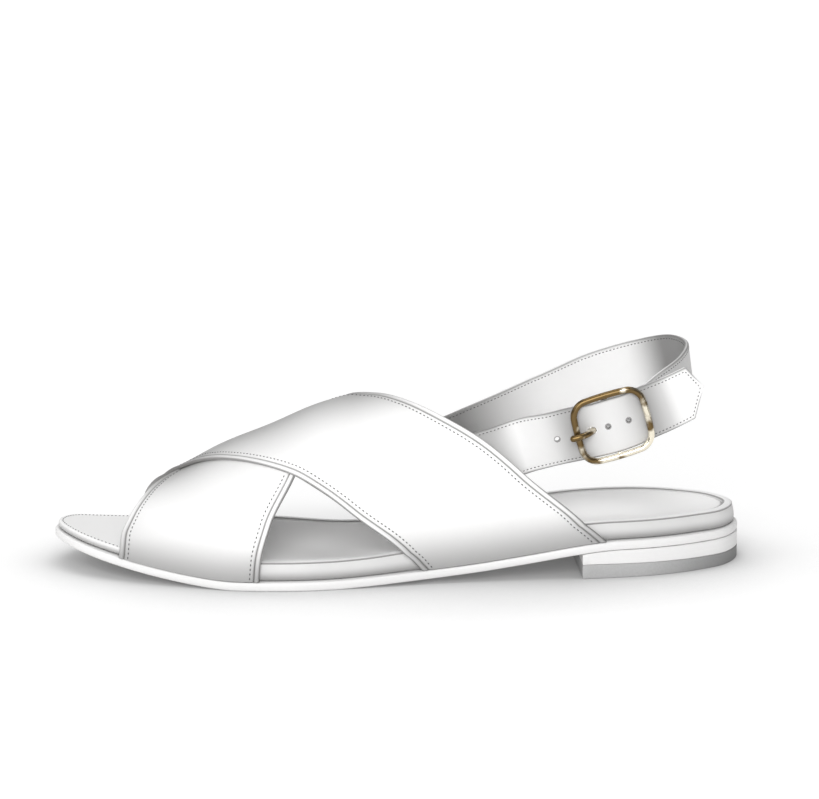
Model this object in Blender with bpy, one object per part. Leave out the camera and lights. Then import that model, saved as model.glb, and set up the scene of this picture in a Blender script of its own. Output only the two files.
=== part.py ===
"""Leather slingback sandal for the left foot.

Two crossed vamp straps, a buckled heel strap, a wrapped footbed, an outsole and a low heel.
The toe points to -X, the outer side of the foot is -Y and the floor is Z = 0.
Sizes are in millimetres and become metres when a mesh is made.
"""

import math
from collections import namedtuple

import bmesh
import bpy
import numpy as np

MM = 0.001
GAP = 0.3

# Driving sizes
SOLE_LENGTH = 253.0
BALL_WIDTH = 82.0
INSTEP_HEIGHT = 60.0
HEEL_HEIGHT = 10.4
TOE_SPRING = 10.5
UPPER_WALL = 2.0
SLING_WALL = 1.6

# Sole
OUTSOLE_THICK = 3.2
OUTSOLE_LEDGE = 2.7
OUTSOLE_END_LEDGE = 1.3
LEDGE_RUN = 20.0
OUTSOLE_ROUND = 0.6
TREAD_FRONT = 0.254
TREAD_BACK = 0.389
SEAT_FRONT = 0.81
SPRING_POWER = 1.5
FOOTBED_HEIGHT = 6.4
FOOTBED_TOE_HEIGHT = 1.6
FOOTBED_RISE = (0.087, 0.278)
ARCH_FILL = 2.0
ARCH_FRONT = (0.43, 0.64)
ARCH_BACK = (0.66, 0.83)
RIM_WIDTH = 4.5
RIM_TOE_WIDTH = 0.5
RECESS_DEPTH = 1.7
RECESS_TOE_DEPTH = 0.02
DISH_DEPTH = 1.5
INSOLE_THICK = 1.2
INSOLE_EDGE = 0.5
INSOLE_SHOULDER = 0.6
SPINE_END = 30.0
OUTLINE_STATIONS = 36
OUTLINE_SPACING = 1.0

# Heel
HEEL_BREAST = 0.758
HEEL_SPLIT_FRONT = 5.3
HEEL_SPLIT_BACK = 4.6
HEEL_ROUND = 0.5
HEEL_STATIONS = 16

# Buckle: a rounded frame of wire, with a dropped centre bar and a prong
BUCKLE_CENTRE = (75.6, -24.4, 57.0)
BUCKLE_RISE = math.radians(15.5)
BUCKLE_TURN = math.radians(2.0)
FRAME_LONG = 28.4
FRAME_TALL = 25.2
FRAME_CORNER = 7.0
FRAME_WIRE = 1.2
FRAME_OUT = 5.3
BAR_WIRE = 1.1
BAR_BEND = 1.5
PRONG_WIRE = 1.2
PRONG_REACH = 16.4
PRONG_LIFT = (-5.2, 1.4)
PRONG_CREST = 2.4
PRONG_DROP = 0.5
PRONG_STEPS = 5
PRONG_WRAP = 165.0
SLOT_HALF = 1.6
SLOT_ALONG = (-5.5, 4.4)
SLOT_OUT = (-6.0, 1.7)
HOLE_OUT = (-2.0, 10.0)
CORNER_STEPS = 6
BEND_STEPS = 4
FOLD_STEPS = 9

# Sling straps
SLING_HOLE = 1.1
SLING_HOLES = (-20.4, -1.6, 6.2)
TIP_LENGTH = 5.8
TIP_BLUNT = 0.12
BAND_SPACING = 4.5
EDGE_EASE = 0.5
FOLD_WIDTH = 18.4
FOLD_FLAP = ((13.0, -1.3), (8.0, -1.6), (4.0, -2.05))
FOLD_WAY_OUT = ((4.0, 1.95), (8.0, 1.4), (13.0, 0.6))
HEEL_LOOP_MIDDLE = (70.0, 2.0)
ANCHOR_GAP = 0.5

# Steps for measuring directions on the last
PROBE_X = 0.5
PROBE_GIRTH = 0.012
SMOOTH_ANGLE = math.radians(40.0)
WELD = 1e-7
WIRE_WELD = 1e-6
WIRE_FACETS = 2

# Side of the footbed: distance from its outline, and share of its height
Level = namedtuple("Level", "inset height")
FOOTBED_SIDE = (
    Level(0.3, 0.00),
    Level(0.0, 0.25),
    Level(0.0, 0.80),
    Level(0.3, 0.95),
    Level(0.8, 1.00),
)

# Rings of the dished seat, as shares of its outline
SEAT_SHARES = (1.0, 0.75, 0.45, 0.15)

# Plan of the sole: share of the length from the toe, and reach to the outer and the inner side
# as a share of the ball width. The two sides meet in the first row and in the last one.
Plan = namedtuple("Plan", "station outer inner")
PLAN = (
    Plan(0.000, -0.073, 0.073),
    Plan(0.020, 0.067, 0.250),
    Plan(0.050, 0.171, 0.335),
    Plan(0.100, 0.278, 0.432),
    Plan(0.180, 0.396, 0.485),
    Plan(0.260, 0.482, 0.491),
    Plan(0.340, 0.507, 0.421),
    Plan(0.440, 0.473, 0.317),
    Plan(0.540, 0.420, 0.288),
    Plan(0.660, 0.390, 0.317),
    Plan(0.780, 0.376, 0.357),
    Plan(0.860, 0.341, 0.366),
    Plan(0.930, 0.260, 0.305),
    Plan(0.975, 0.165, 0.200),
    Plan(1.000, -0.025, 0.025),
)

# Last: place of the ridge towards the inner side, its height as a share of the instep height,
# and the fullness of the section, where 2 is an ellipse and less is leaner
Last = namedtuple("Last", "station ridge_in ridge_height fullness")
LAST = (
    Last(0.055, 9.0, 0.317, 2.20),
    Last(0.123, 9.0, 0.425, 2.10),
    Last(0.183, 9.0, 0.517, 2.05),
    Last(0.250, 9.0, 0.667, 2.00),
    Last(0.320, 8.0, 0.792, 2.00),
    Last(0.390, 7.0, 0.925, 1.95),
    Last(0.450, 6.0, 1.000, 1.90),
    Last(0.530, 5.0, 1.067, 1.95),
    Last(0.620, 4.0, 1.125, 2.20),
    Last(0.720, 3.0, 1.183, 2.00),
    Last(0.820, 2.0, 1.233, 1.80),
)

# Edges of the vamp straps: share of the girth, from the footbed's outer rim at 0 over the ridge
# to the inner rim at 1, and the stations of the front and the rear edge there.
# The feet of the straps run down the footbed's side to the outsole, to FOOT_GIRTH past each rim.
FOOT_GIRTH = 0.08
Edge = namedtuple("Edge", "girth front rear")
UNDER_STRAP = (
    Edge(-0.08, 0.095, 0.292),
    Edge(0.00, 0.096, 0.294),
    Edge(0.12, 0.098, 0.310),
    Edge(0.25, 0.109, 0.347),
    Edge(0.40, 0.131, 0.381),
    Edge(0.50, 0.156, 0.413),
    Edge(0.60, 0.201, 0.462),
    Edge(0.75, 0.290, 0.553),
    Edge(0.88, 0.395, 0.634),
    Edge(1.00, 0.474, 0.708),
    Edge(1.08, 0.510, 0.738),
)
OVER_STRAP = (
    Edge(-0.08, 0.524, 0.793),
    Edge(0.00, 0.498, 0.763),
    Edge(0.12, 0.421, 0.678),
    Edge(0.25, 0.341, 0.601),
    Edge(0.40, 0.251, 0.516),
    Edge(0.50, 0.208, 0.466),
    Edge(0.60, 0.164, 0.417),
    Edge(0.75, 0.140, 0.357),
    Edge(0.88, 0.129, 0.323),
    Edge(1.00, 0.122, 0.310),
    Edge(1.08, 0.120, 0.306),
)
STRAP_ROWS = 42
STRAP_FIELD = 9
STRAP_INSIDE = 11
OVER_LIFT = 1.3
OVER_FALL = 15.0

# Bound edge of a vamp strap: distance from the edge as a share of the strap's width, and the
# height of the outer face as a share of the wall
Bead = namedtuple("Bead", "inset height")
BEAD = (
    Bead(0.000, 0.45),
    Bead(0.008, 1.05),
    Bead(0.034, 1.05),
    Bead(0.045, 0.85),
    Bead(0.066, 1.00),
)

# Heel strap from the buckle round the heel, at the middle of its width; lean tips its top inwards
Loop = namedtuple("Loop", "x y z lean width")
HEEL_LOOP = (
    Loop(96.0, -20.0, 65.4, 4.0, 19.2),
    Loop(104.0, -11.0, 69.0, 6.0, 19.6),
    Loop(107.6, 1.0, 71.4, 8.0, 20.0),
    Loop(104.0, 12.0, 71.8, 8.0, 20.0),
    Loop(92.0, 22.5, 68.8, 8.0, 20.0),
    Loop(74.0, 27.5, 62.8, 8.0, 20.0),
    Loop(54.0, 23.6, 54.8, 10.0, 20.0),
)

# Ends of the sling under the vamp straps: station, girth share, width, how far the strap leans
# with the last, where 0 is upright, and how far it moves out where only its lower edge is covered
Anchor = namedtuple("Anchor", "station girth width lean shift")
HEEL_ANCHORS = (
    Anchor(0.622, 0.812, 20.0, 0.70, 0.0),
    Anchor(0.570, 0.831, 20.0, 0.95, 0.0),
    Anchor(0.530, 0.841, 20.0, 1.00, 0.0),
    Anchor(0.495, 0.849, 20.0, 1.00, 0.0),
)
BILLET_ANCHORS = (
    Anchor(0.575, 0.171, 20.4, 1.00, 0.0),
    Anchor(0.610, 0.175, 20.4, 1.00, 0.0),
    Anchor(0.645, 0.184, 20.4, 0.80, 0.6),
    Anchor(0.675, 0.196, 20.2, 0.45, 1.8),
)

# Free part of the pointed strap, in the buckle's own directions: along it, across it and out
# from its bar
Billet = namedtuple("Billet", "along across out width")
BILLET = (
    Billet(-23.0, 0.9, 0.2, 19.8),
    Billet(-12.8, 0.2, 2.7, 19.0),
    Billet(-6.0, 0.1, 3.7, 19.4),
    Billet(0.0, 0.1, 4.1, 19.6),
    Billet(6.0, 0.1, 3.7, 19.4),
    Billet(12.8, 0.2, 2.7, 18.9),
    Billet(20.0, 1.0, 1.7, 18.7),
    Billet(30.4, 2.4, -0.9, 18.4),
    Billet(36.4, 3.1, -3.0, 18.4),
)

# Sizes that follow
TOE_X = -SOLE_LENGTH / 2
HEEL_X = SOLE_LENGTH / 2
FOLD_RADIUS = BAR_WIRE + GAP + SLING_WALL / 2
HOOK_RADIUS = BAR_WIRE + GAP + PRONG_WIRE


def station_x(station):
    """Place along the sole of a share of its length."""
    return TOE_X + np.asarray(station, float) * SOLE_LENGTH


def ease(x, start, end):
    """0 before start, 1 after end and a soft step between them."""
    share = np.clip((np.asarray(x, float) - start) / (end - start), 0.0, 1.0)
    return share * share * (3.0 - 2.0 * share)


def mix(a, b, share):
    return a + (b - a) * share


def through(points, spacing, closed=False, measured=3):
    """Points on a smooth curve through the given ones, about a spacing apart."""
    points = np.asarray(points, float)
    if closed:
        points = np.vstack([points, points[:1]])
    spans = np.diff(points, axis=0)
    lengths = np.linalg.norm(spans[:, :measured], axis=1)[:, None]
    slopes = spans / lengths
    inner = (slopes[:-1] * lengths[1:] + slopes[1:] * lengths[:-1]) / (lengths[1:] + lengths[:-1])
    first = slopes[:1]
    last = slopes[-1:]
    if closed:
        first = (last * lengths[0] + first * lengths[-1]) / (lengths[0] + lengths[-1])
        last = first
    tangents = np.vstack([first, inner, last])
    samples = []
    for i, length in enumerate(lengths[:, 0]):
        for t in np.linspace(0.0, 1.0, math.ceil(length / spacing), endpoint=False):
            place = points[i] + spans[i] * t * t * (3 - 2 * t)
            leave = tangents[i] * length * t * (1 - t) ** 2
            arrive = tangents[i + 1] * length * t * t * (1 - t)
            samples.append(place + leave - arrive)
    if not closed:
        samples.append(points[-1])
    return np.array(samples)


def column(table, key, name):
    """A table's column as a smooth function of its key column, with no overshoot."""
    keys = np.array([getattr(row, key) for row in table])
    values = np.array([getattr(row, name) for row in table])
    widths = np.diff(keys)
    rises = np.diff(values) / widths
    slopes = np.concatenate([rises[:1], np.zeros(len(keys) - 2), rises[-1:]])
    for i in range(1, len(keys) - 1):
        if rises[i - 1] * rises[i] > 0:
            near = 2 * widths[i] + widths[i - 1]
            far = widths[i] + 2 * widths[i - 1]
            slopes[i] = (near + far) / (near / rises[i - 1] + far / rises[i])

    def value(at):
        at = np.asarray(at, float)
        i = np.clip(np.searchsorted(keys, at, side="right") - 1, 0, len(keys) - 2)
        t = (at - keys[i]) / widths[i]
        held = np.clip(t, 0.0, 1.0)
        past = (t - held) * widths[i] * np.where(t > 0.5, slopes[i + 1], slopes[i])
        level = mix(values[i], values[i + 1], held ** 2 * (3 - 2 * held))
        lean = held * (1 - held) ** 2 * slopes[i] - held ** 2 * (1 - held) * slopes[i + 1]
        return level + lean * widths[i] + past

    return value


# Sole shape

def outline_sides():
    """The sole's outer and inner edge, each as a function of the place along it."""
    inner = [(station_x(row.station), row.inner * BALL_WIDTH) for row in PLAN]
    outer = [(station_x(row.station), -row.outer * BALL_WIDTH) for row in PLAN[1:-1]]
    curve = through(inner + outer[::-1], OUTLINE_SPACING, closed=True)
    curve[:, 1] -= (curve[:, 1].min() + curve[:, 1].max()) / 2
    turn = int(curve[:, 0].argmax())
    inner_side = curve[:turn + 1]
    outer_side = np.vstack([curve[turn:], curve[:1]])[::-1]

    def outer_y(x):
        return np.interp(x, outer_side[:, 0], outer_side[:, 1])

    def inner_y(x):
        return np.interp(x, inner_side[:, 0], inner_side[:, 1])

    return outer_y, inner_y


OUTER_Y, INNER_Y = outline_sides()


def arch_fill(x):
    """How much thicker the footbed is under the arch."""
    front = ease(x, station_x(ARCH_FRONT[0]), station_x(ARCH_FRONT[1]))
    back = ease(x, station_x(ARCH_BACK[0]), station_x(ARCH_BACK[1]))
    return ARCH_FILL * (front - back)


def ground_z(x):
    """Underside of the outsole: toe spring, flat tread, rising waist and level heel seat."""
    x = np.asarray(x, float)
    tread_front = station_x(TREAD_FRONT)
    toe = np.clip((tread_front - x) / (tread_front - TOE_X), 0.0, 1.0) ** SPRING_POWER
    rise = HEEL_HEIGHT * ease(x, station_x(TREAD_BACK), station_x(SEAT_FRONT))
    return TOE_SPRING * toe + rise - arch_fill(x)


def ledge(x):
    """How far the outsole stands out past the footbed, less at the toe and at the heel."""
    x = np.asarray(x, float)
    full = ease(x, TOE_X, TOE_X + LEDGE_RUN) * ease(-x, -HEEL_X, LEDGE_RUN - HEEL_X)
    return mix(OUTSOLE_END_LEDGE, OUTSOLE_LEDGE, full)


def behind_toe(x):
    """0 at the thin toe of the footbed and 1 where it has its full height."""
    return ease(x, station_x(FOOTBED_RISE[0]), station_x(FOOTBED_RISE[1]))


def outsole_top(x):
    return ground_z(x) + OUTSOLE_THICK


def footbed_base(x):
    return outsole_top(x) + GAP


def footbed_height(x):
    return mix(FOOTBED_TOE_HEIGHT, FOOTBED_HEIGHT, behind_toe(x)) + arch_fill(x)


def rim_z(x):
    return footbed_base(x) + footbed_height(x)


def rim_width(x):
    return mix(RIM_TOE_WIDTH, RIM_WIDTH, behind_toe(x))


def seat_z(x, share):
    """Floor of the footbed's recess, dished towards the middle where share is 0."""
    depth = mix(RECESS_TOE_DEPTH, RECESS_DEPTH, behind_toe(x))
    dish = DISH_DEPTH * behind_toe(x) * (1.0 - share ** 2)
    return rim_z(x) - depth - dish


def sole_ring():
    """Plan of the outsole as a closed ring: toe tip, outer side, heel tip, inner side."""
    angles = np.linspace(0.0, math.pi, OUTLINE_STATIONS + 1)
    x = -HEEL_X * np.cos(angles)
    outer = np.column_stack([x, OUTER_Y(x)])
    inner = np.column_stack([x, INNER_Y(x)])
    return np.vstack([outer, inner[-2:0:-1]])


def heel_ring():
    """Plan of the heel: breast corner, outer side, heel tip, inner side, breast corner."""
    breast = station_x(HEEL_BREAST)
    angles = np.linspace(0.0, math.pi / 2, HEEL_STATIONS + 1)
    x = breast + (HEEL_X - breast) * np.sin(angles)
    outer = np.column_stack([x, OUTER_Y(x)])
    inner = np.column_stack([x, INNER_Y(x)])
    return np.vstack([outer, inner[-2::-1]])


def inset(ring, distance):
    """The ring moved inwards by a distance, which may differ from point to point."""
    along = np.roll(ring, -1, axis=0) - np.roll(ring, 1, axis=0)
    inward = np.column_stack([-along[:, 1], along[:, 0]])
    inward /= np.linalg.norm(inward, axis=1)[:, None]
    return ring + inward * np.broadcast_to(distance, len(ring))[:, None]


def footbed_ring():
    ring = sole_ring()
    return inset(ring, ledge(ring[:, 0]))


def shrink(ring, share):
    """The ring drawn in towards the sole's middle line."""
    x = np.clip(ring[:, 0], TOE_X + SPINE_END, HEEL_X - SPINE_END)
    spine = np.column_stack([x, (OUTER_Y(x) + INNER_Y(x)) / 2])
    return spine + (ring - spine) * share


def raised(ring, z):
    return np.column_stack([ring, np.broadcast_to(z, len(ring))])


# Mesh making

def scene_collection(name):
    collection = bpy.data.collections.new(name)
    bpy.context.scene.collection.children.link(collection)
    return collection


def material(name, colour, roughness, metallic=0.0):
    made = bpy.data.materials.new(name)
    made.use_nodes = True
    shader = made.node_tree.nodes["Principled BSDF"]
    shader.inputs["Base Color"].default_value = (*colour, 1.0)
    shader.inputs["Roughness"].default_value = roughness
    shader.inputs["Metallic"].default_value = metallic
    return made


def solid(name, points, faces, finish, collection):
    """A closed mesh object from points in millimetres, its doubles merged and its faces outward."""
    shape = bmesh.new()
    corners = [shape.verts.new(np.asarray(point) * MM) for point in points]
    for face in faces:
        shape.faces.new([corners[i] for i in face])
    bmesh.ops.remove_doubles(shape, verts=shape.verts, dist=WELD)
    bmesh.ops.dissolve_degenerate(shape, edges=shape.edges, dist=WELD)
    bmesh.ops.recalc_face_normals(shape, faces=shape.faces)
    mesh = bpy.data.meshes.new(name)
    shape.to_mesh(mesh)
    shape.free()
    mesh.shade_smooth()
    mesh.set_sharp_from_angle(angle=SMOOTH_ANGLE)
    mesh.materials.append(finish)
    thing = bpy.data.objects.new(name, mesh)
    collection.objects.link(thing)
    return thing


def ladder(ring_size, start, has_tips):
    """Faces that close a ring straight across, from its outer to its inner side."""
    last = ring_size if has_tips else ring_size - 1
    pairs = [(k, (last - k) % ring_size) for k in range(ring_size // 2 + 1)]
    faces = []
    for (a, b), (c, d) in zip(pairs, pairs[1:]):
        face = list(dict.fromkeys([a, c, d, b]))
        if len(face) > 2:
            faces.append([start + i for i in face])
    return faces


def plate(name, rings, finish, collection, has_tips=True):
    """A solid through a stack of rings, closed across its first and its last one."""
    size = len(rings[0])
    faces = ladder(size, 0, has_tips) + ladder(size, size * (len(rings) - 1), has_tips)
    for level in range(len(rings) - 1):
        low = level * size
        high = low + size
        for i in range(size):
            j = (i + 1) % size
            faces.append([low + i, low + j, high + j, high + i])
    return solid(name, np.vstack(rings), faces, finish, collection)


def sleeve(name, sections, finish, collection, cap=None):
    """A solid through closed sections that follow a path, closed at each end by the cap's faces."""
    size = len(sections[0])
    top = size * (len(sections) - 1)
    cap = cap or [list(range(size))]
    faces = cap + [[top + i for i in face] for face in cap]
    for level in range(len(sections) - 1):
        low = level * size
        high = low + size
        for i in range(size):
            j = (i + 1) % size
            faces.append([low + i, low + j, high + j, high + i])
    return solid(name, np.vstack(sections), faces, finish, collection)


def wire(name, points, radius, finish, collection, closed=False):
    """A round wire along a path, as a mesh whose caps are welded."""
    curve = bpy.data.curves.new(name, "CURVE")
    curve.dimensions = "3D"
    curve.bevel_depth = radius * MM
    curve.bevel_resolution = WIRE_FACETS
    curve.use_fill_caps = True
    spline = curve.splines.new("POLY")
    spline.points.add(len(points) - 1)
    for knot, point in zip(spline.points, points):
        knot.co = (*(np.asarray(point) * MM), 1.0)
    spline.use_cyclic_u = closed
    guide = bpy.data.objects.new(name + "_path", curve)
    collection.objects.link(guide)
    bpy.context.view_layer.update()
    evaluated = guide.evaluated_get(bpy.context.evaluated_depsgraph_get())
    mesh = bpy.data.meshes.new_from_object(evaluated)
    shape = bmesh.new()
    shape.from_mesh(mesh)
    bmesh.ops.remove_doubles(shape, verts=shape.verts, dist=WIRE_WELD)
    bmesh.ops.recalc_face_normals(shape, faces=shape.faces)
    shape.to_mesh(mesh)
    shape.free()
    mesh.shade_smooth()
    mesh.materials.clear()
    mesh.materials.append(finish)
    thing = bpy.data.objects.new(name, mesh)
    thing.matrix_world = guide.matrix_world
    collection.objects.link(thing)
    bpy.data.objects.remove(guide)
    return thing


def boolean(target, operand, operation):
    """Join an operand to a solid, or cut it away, and keep the operand as a hidden guide."""
    operand.hide_render = True
    operand.display_type = "WIRE"
    change = target.modifiers.new(operand.name, "BOOLEAN")
    change.operation = operation
    change.solver = "EXACT"
    change.object = operand


# Last and vamp straps

RIDGE_IN = column(LAST, "station", "ridge_in")
RIDGE_HEIGHT = column(LAST, "station", "ridge_height")
FULLNESS = column(LAST, "station", "fullness")


def last_point(x, girth):
    """A point on the last, which is the inside of the straps."""
    station = (x - TOE_X) / SOLE_LENGTH
    outer = float(OUTER_Y(x)) + OUTSOLE_LEDGE - GAP
    inner = float(INNER_Y(x)) - OUTSOLE_LEDGE + GAP
    low = float(rim_z(x))
    foot = low - float(footbed_base(x))
    if girth < 0.0:
        return np.array([x, outer, low + foot * girth / FOOT_GIRTH])
    if girth > 1.0:
        return np.array([x, inner, low - foot * (girth - 1.0) / FOOT_GIRTH])
    ridge_y = float(RIDGE_IN(station))
    ridge_z = float(RIDGE_HEIGHT(station)) * INSTEP_HEIGHT
    power = 2.0 / float(FULLNESS(station))
    reach = math.cos(math.pi * girth)
    side = outer if reach > 0 else inner
    y = ridge_y + (side - ridge_y) * abs(reach) ** power
    z = low + (ridge_z - low) * math.sin(math.pi * girth) ** power
    return np.array([x, y, z])


def last_frame(x, girth):
    """Directions on the last: along the girth, and out of it."""
    along = last_point(x + PROBE_X, girth) - last_point(x - PROBE_X, girth)
    low = max(girth - PROBE_GIRTH, -FOOT_GIRTH)
    high = min(girth + PROBE_GIRTH, 1.0 + FOOT_GIRTH)
    around = last_point(x, high) - last_point(x, low)
    out = np.cross(along, around)
    return around / np.linalg.norm(around), out / np.linalg.norm(out)


def lifted(x, girth, lift):
    return last_point(x, girth) + last_frame(x, girth)[1] * lift


UNDER_FRONT = column(UNDER_STRAP, "girth", "front")
UNDER_REAR = column(UNDER_STRAP, "girth", "rear")


def over_lift(x, girth):
    """How far the upper strap stands off the last to pass over the lower one."""
    before = station_x(UNDER_FRONT(girth)) - x
    behind = x - station_x(UNDER_REAR(girth))
    clear = max(float(before), float(behind), 0.0)
    return OVER_LIFT * (1.0 - float(ease(clear, 0.0, OVER_FALL)))


def flat_lift(x, girth):
    return 0.0


def strap_profile():
    """One section of a strap: share of its width and height of the face, out and back inside."""
    front = [(row.inset, row.height * UPPER_WALL) for row in BEAD]
    rear = [(1.0 - share, height) for share, height in reversed(front)]
    field = np.linspace(BEAD[-1].inset, 1.0 - BEAD[-1].inset, STRAP_FIELD + 2)[1:-1]
    inside = np.linspace(1.0 - BEAD[1].inset, BEAD[1].inset, STRAP_INSIDE)
    middle = [(share, UPPER_WALL) for share in field]
    return front + middle + rear + [(share, 0.0) for share in inside]


def strap_cap(profile):
    """Faces across a strap's end, stepped along its outer and its inner face side by side."""
    shares = [share for share, height in profile]
    outer = list(range(len(profile) - STRAP_INSIDE))
    inner = list(range(len(profile) - 1, len(outer) - 1, -1))
    faces = []
    while len(outer) > 1 or len(inner) > 1:
        step_outer = len(inner) == 1 or (len(outer) > 1 and shares[outer[1]] < shares[inner[1]])
        chain = outer if step_outer else inner
        faces.append([outer[0], inner[0], chain[1]])
        chain.pop(0)
    return faces


def vamp_strap(name, edges, base_lift, finish, collection):
    front = column(edges, "girth", "front")
    rear = column(edges, "girth", "rear")
    profile = strap_profile()
    sections = []
    for girth in np.linspace(-FOOT_GIRTH, 1.0 + FOOT_GIRTH, STRAP_ROWS):
        start = float(station_x(front(girth)))
        end = float(station_x(rear(girth)))
        section = []
        for share, height in profile:
            x = mix(start, end, share)
            section.append(lifted(x, girth, base_lift(x, girth) + height))
        sections.append(section)
    return sleeve(name, sections, finish, collection, strap_cap(profile))


# Sling straps

def buckle_point(along, across, out):
    """A place by the buckle: along the strap, across it and out from the centre bar."""
    level_way = np.array([math.cos(BUCKLE_TURN), math.sin(BUCKLE_TURN), 0.0])
    out_way = np.array([math.sin(BUCKLE_TURN), -math.cos(BUCKLE_TURN), 0.0])
    long_way = level_way * math.cos(BUCKLE_RISE) + np.array([0.0, 0.0, math.sin(BUCKLE_RISE)])
    tall_way = np.cross(out_way, long_way)
    return np.array(BUCKLE_CENTRE) + long_way * along + tall_way * across + out_way * out


BUCKLE_TALL = buckle_point(0.0, 1.0, 0.0) - np.array(BUCKLE_CENTRE)


def anchor_row(anchor):
    """A strap end that lies against the inside of a vamp strap, hollowed to its curve."""
    x = float(station_x(anchor.station))
    around, out = last_frame(x, anchor.girth)
    upward = mix(np.array([0.0, 0.0, 1.0]), around * math.copysign(1.0, around[2]), anchor.lean)
    middle = last_point(x, anchor.girth)
    stride = last_point(x, anchor.girth + PROBE_GIRTH) - last_point(x, anchor.girth - PROBE_GIRTH)
    reach = anchor.width * PROBE_GIRTH / np.linalg.norm(stride)
    chord = (last_point(x, anchor.girth - reach) + last_point(x, anchor.girth + reach)) / 2
    bow = float(np.dot(middle - chord, out)) * anchor.lean
    return middle - out * (ANCHOR_GAP + SLING_WALL / 2 - anchor.shift), upward, anchor.width, bow


def loop_row(row):
    """A place of the heel strap on its way round the heel."""
    inward = np.array([HEEL_LOOP_MIDDLE[0] - row.x, HEEL_LOOP_MIDDLE[1] - row.y, 0.0])
    inward /= np.linalg.norm(inward)
    lean = math.radians(row.lean)
    upward = np.array([0.0, 0.0, math.cos(lean)]) + inward * math.sin(lean)
    return np.array([row.x, row.y, row.z]), upward, row.width, 0.0


def fold_rows():
    """The heel strap's end: a flap, a turn round the buckle's centre bar and the way back out."""
    lies = list(FOLD_FLAP)
    for turn in np.linspace(-math.pi / 2, -3 * math.pi / 2, FOLD_STEPS):
        lies.append((FOLD_RADIUS * math.cos(turn), FOLD_RADIUS * math.sin(turn)))
    lies += list(FOLD_WAY_OUT)
    return [(buckle_point(along, 0.0, out), BUCKLE_TALL, FOLD_WIDTH, 0.0) for along, out in lies]


def billet_rows():
    return [(buckle_point(row.along, row.across, row.out), BUCKLE_TALL, row.width, 0.0) for row in BILLET]


def band_section(place, upward, forward, half_width, bow):
    """Section of a flat strap with eased edges, hollowed on its inner face by the bow."""
    across = upward - forward * np.dot(upward, forward)
    across /= np.linalg.norm(across)
    out = np.cross(forward, across)
    half = SLING_WALL / 2
    trim = min(EDGE_EASE, half_width / 2)
    flat = half_width - trim
    corners = ((-flat, half), (0.0, half), (flat, half), (half_width, 0.0),
               (flat, -half), (0.0, -half), (-flat, -half), (-half_width, 0.0))
    section = []
    for side, rise in corners:
        drop = bow * (side / half_width) ** 2
        section.append(place + across * side + out * (rise - drop))
    return section


def band(name, rows, finish, collection, tip_length=0.0):
    """A flat strap through its rows, its far end drawn to a point over the tip length."""
    table = [np.concatenate([place, upward, [width, bow]]) for place, upward, width, bow in rows]
    path = through(table, BAND_SPACING)
    places = path[:, :3]
    forwards = np.gradient(places, axis=0)
    forwards /= np.linalg.norm(forwards, axis=1)[:, None]
    lengths = np.linalg.norm(np.diff(places, axis=0), axis=1)
    left = np.concatenate([np.cumsum(lengths[::-1])[::-1], [0.0]])
    sections = []
    for row, forward, to_tip in zip(path, forwards, left):
        half_width = row[6] / 2
        if tip_length:
            half_width *= mix(TIP_BLUNT, 1.0, min(to_tip / tip_length, 1.0))
        sections.append(band_section(row[:3], row[3:6], forward, half_width, row[7]))
    return sleeve(name, sections, finish, collection)


# Sub-parts

def make_outsole(collection):
    ring = sole_ring()
    finish = material("outsole_edge", (0.86, 0.86, 0.84), 0.45)
    levels = (
        (OUTSOLE_ROUND, 0.0),
        (0.0, OUTSOLE_ROUND),
        (0.0, OUTSOLE_THICK - OUTSOLE_ROUND),
        (OUTSOLE_ROUND, OUTSOLE_THICK),
    )
    rings = []
    for distance, height in levels:
        plan = inset(ring, distance)
        rings.append(raised(plan, ground_z(plan[:, 0]) + height))
    return plate("outsole", rings, finish, collection)


def make_footbed(collection):
    ring = footbed_ring()
    finish = material("footbed_cover", (0.72, 0.72, 0.71), 0.5)
    rings = []
    for distance, share in FOOTBED_SIDE:
        plan = inset(ring, distance)
        rings.append(raised(plan, mix(footbed_base(plan[:, 0]), rim_z(plan[:, 0]), share)))
    rim = inset(ring, rim_width(ring[:, 0]))
    rings.append(raised(rim, rim_z(rim[:, 0])))
    for share in SEAT_SHARES:
        plan = shrink(rim, share)
        rings.append(raised(plan, seat_z(plan[:, 0], share)))
    return plate("footbed", rings, finish, collection)


def make_insole(collection):
    outer = footbed_ring()
    plan = inset(outer, rim_width(outer[:, 0]) + GAP)
    finish = material("insole_sock", (0.62, 0.62, 0.61), 0.55)
    rings = []
    for share in reversed(SEAT_SHARES):
        under = shrink(plan, share)
        rings.append(raised(under, seat_z(under[:, 0], share) + GAP))
    rings.append(raised(plan, seat_z(plan[:, 0], 1.0) + GAP + INSOLE_THICK * INSOLE_SHOULDER))
    for share in SEAT_SHARES:
        over = shrink(inset(plan, INSOLE_EDGE), share)
        rings.append(raised(over, seat_z(over[:, 0], share) + GAP + INSOLE_THICK))
    return plate("insole", rings, finish, collection)


def heel_split(x):
    """Line between the heel block and its top piece, which falls towards the back."""
    share = (np.asarray(x, float) - station_x(HEEL_BREAST)) / (HEEL_X - station_x(HEEL_BREAST))
    return mix(HEEL_SPLIT_FRONT, HEEL_SPLIT_BACK, share)


def make_heel_block(collection):
    ring = heel_ring()
    finish = material("heel_block", (0.84, 0.84, 0.82), 0.45)
    x = ring[:, 0]
    rings = [raised(ring, heel_split(x) + GAP / 2), raised(ring, ground_z(x) - GAP)]
    return plate("heel_block", rings, finish, collection, has_tips=False)


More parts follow.
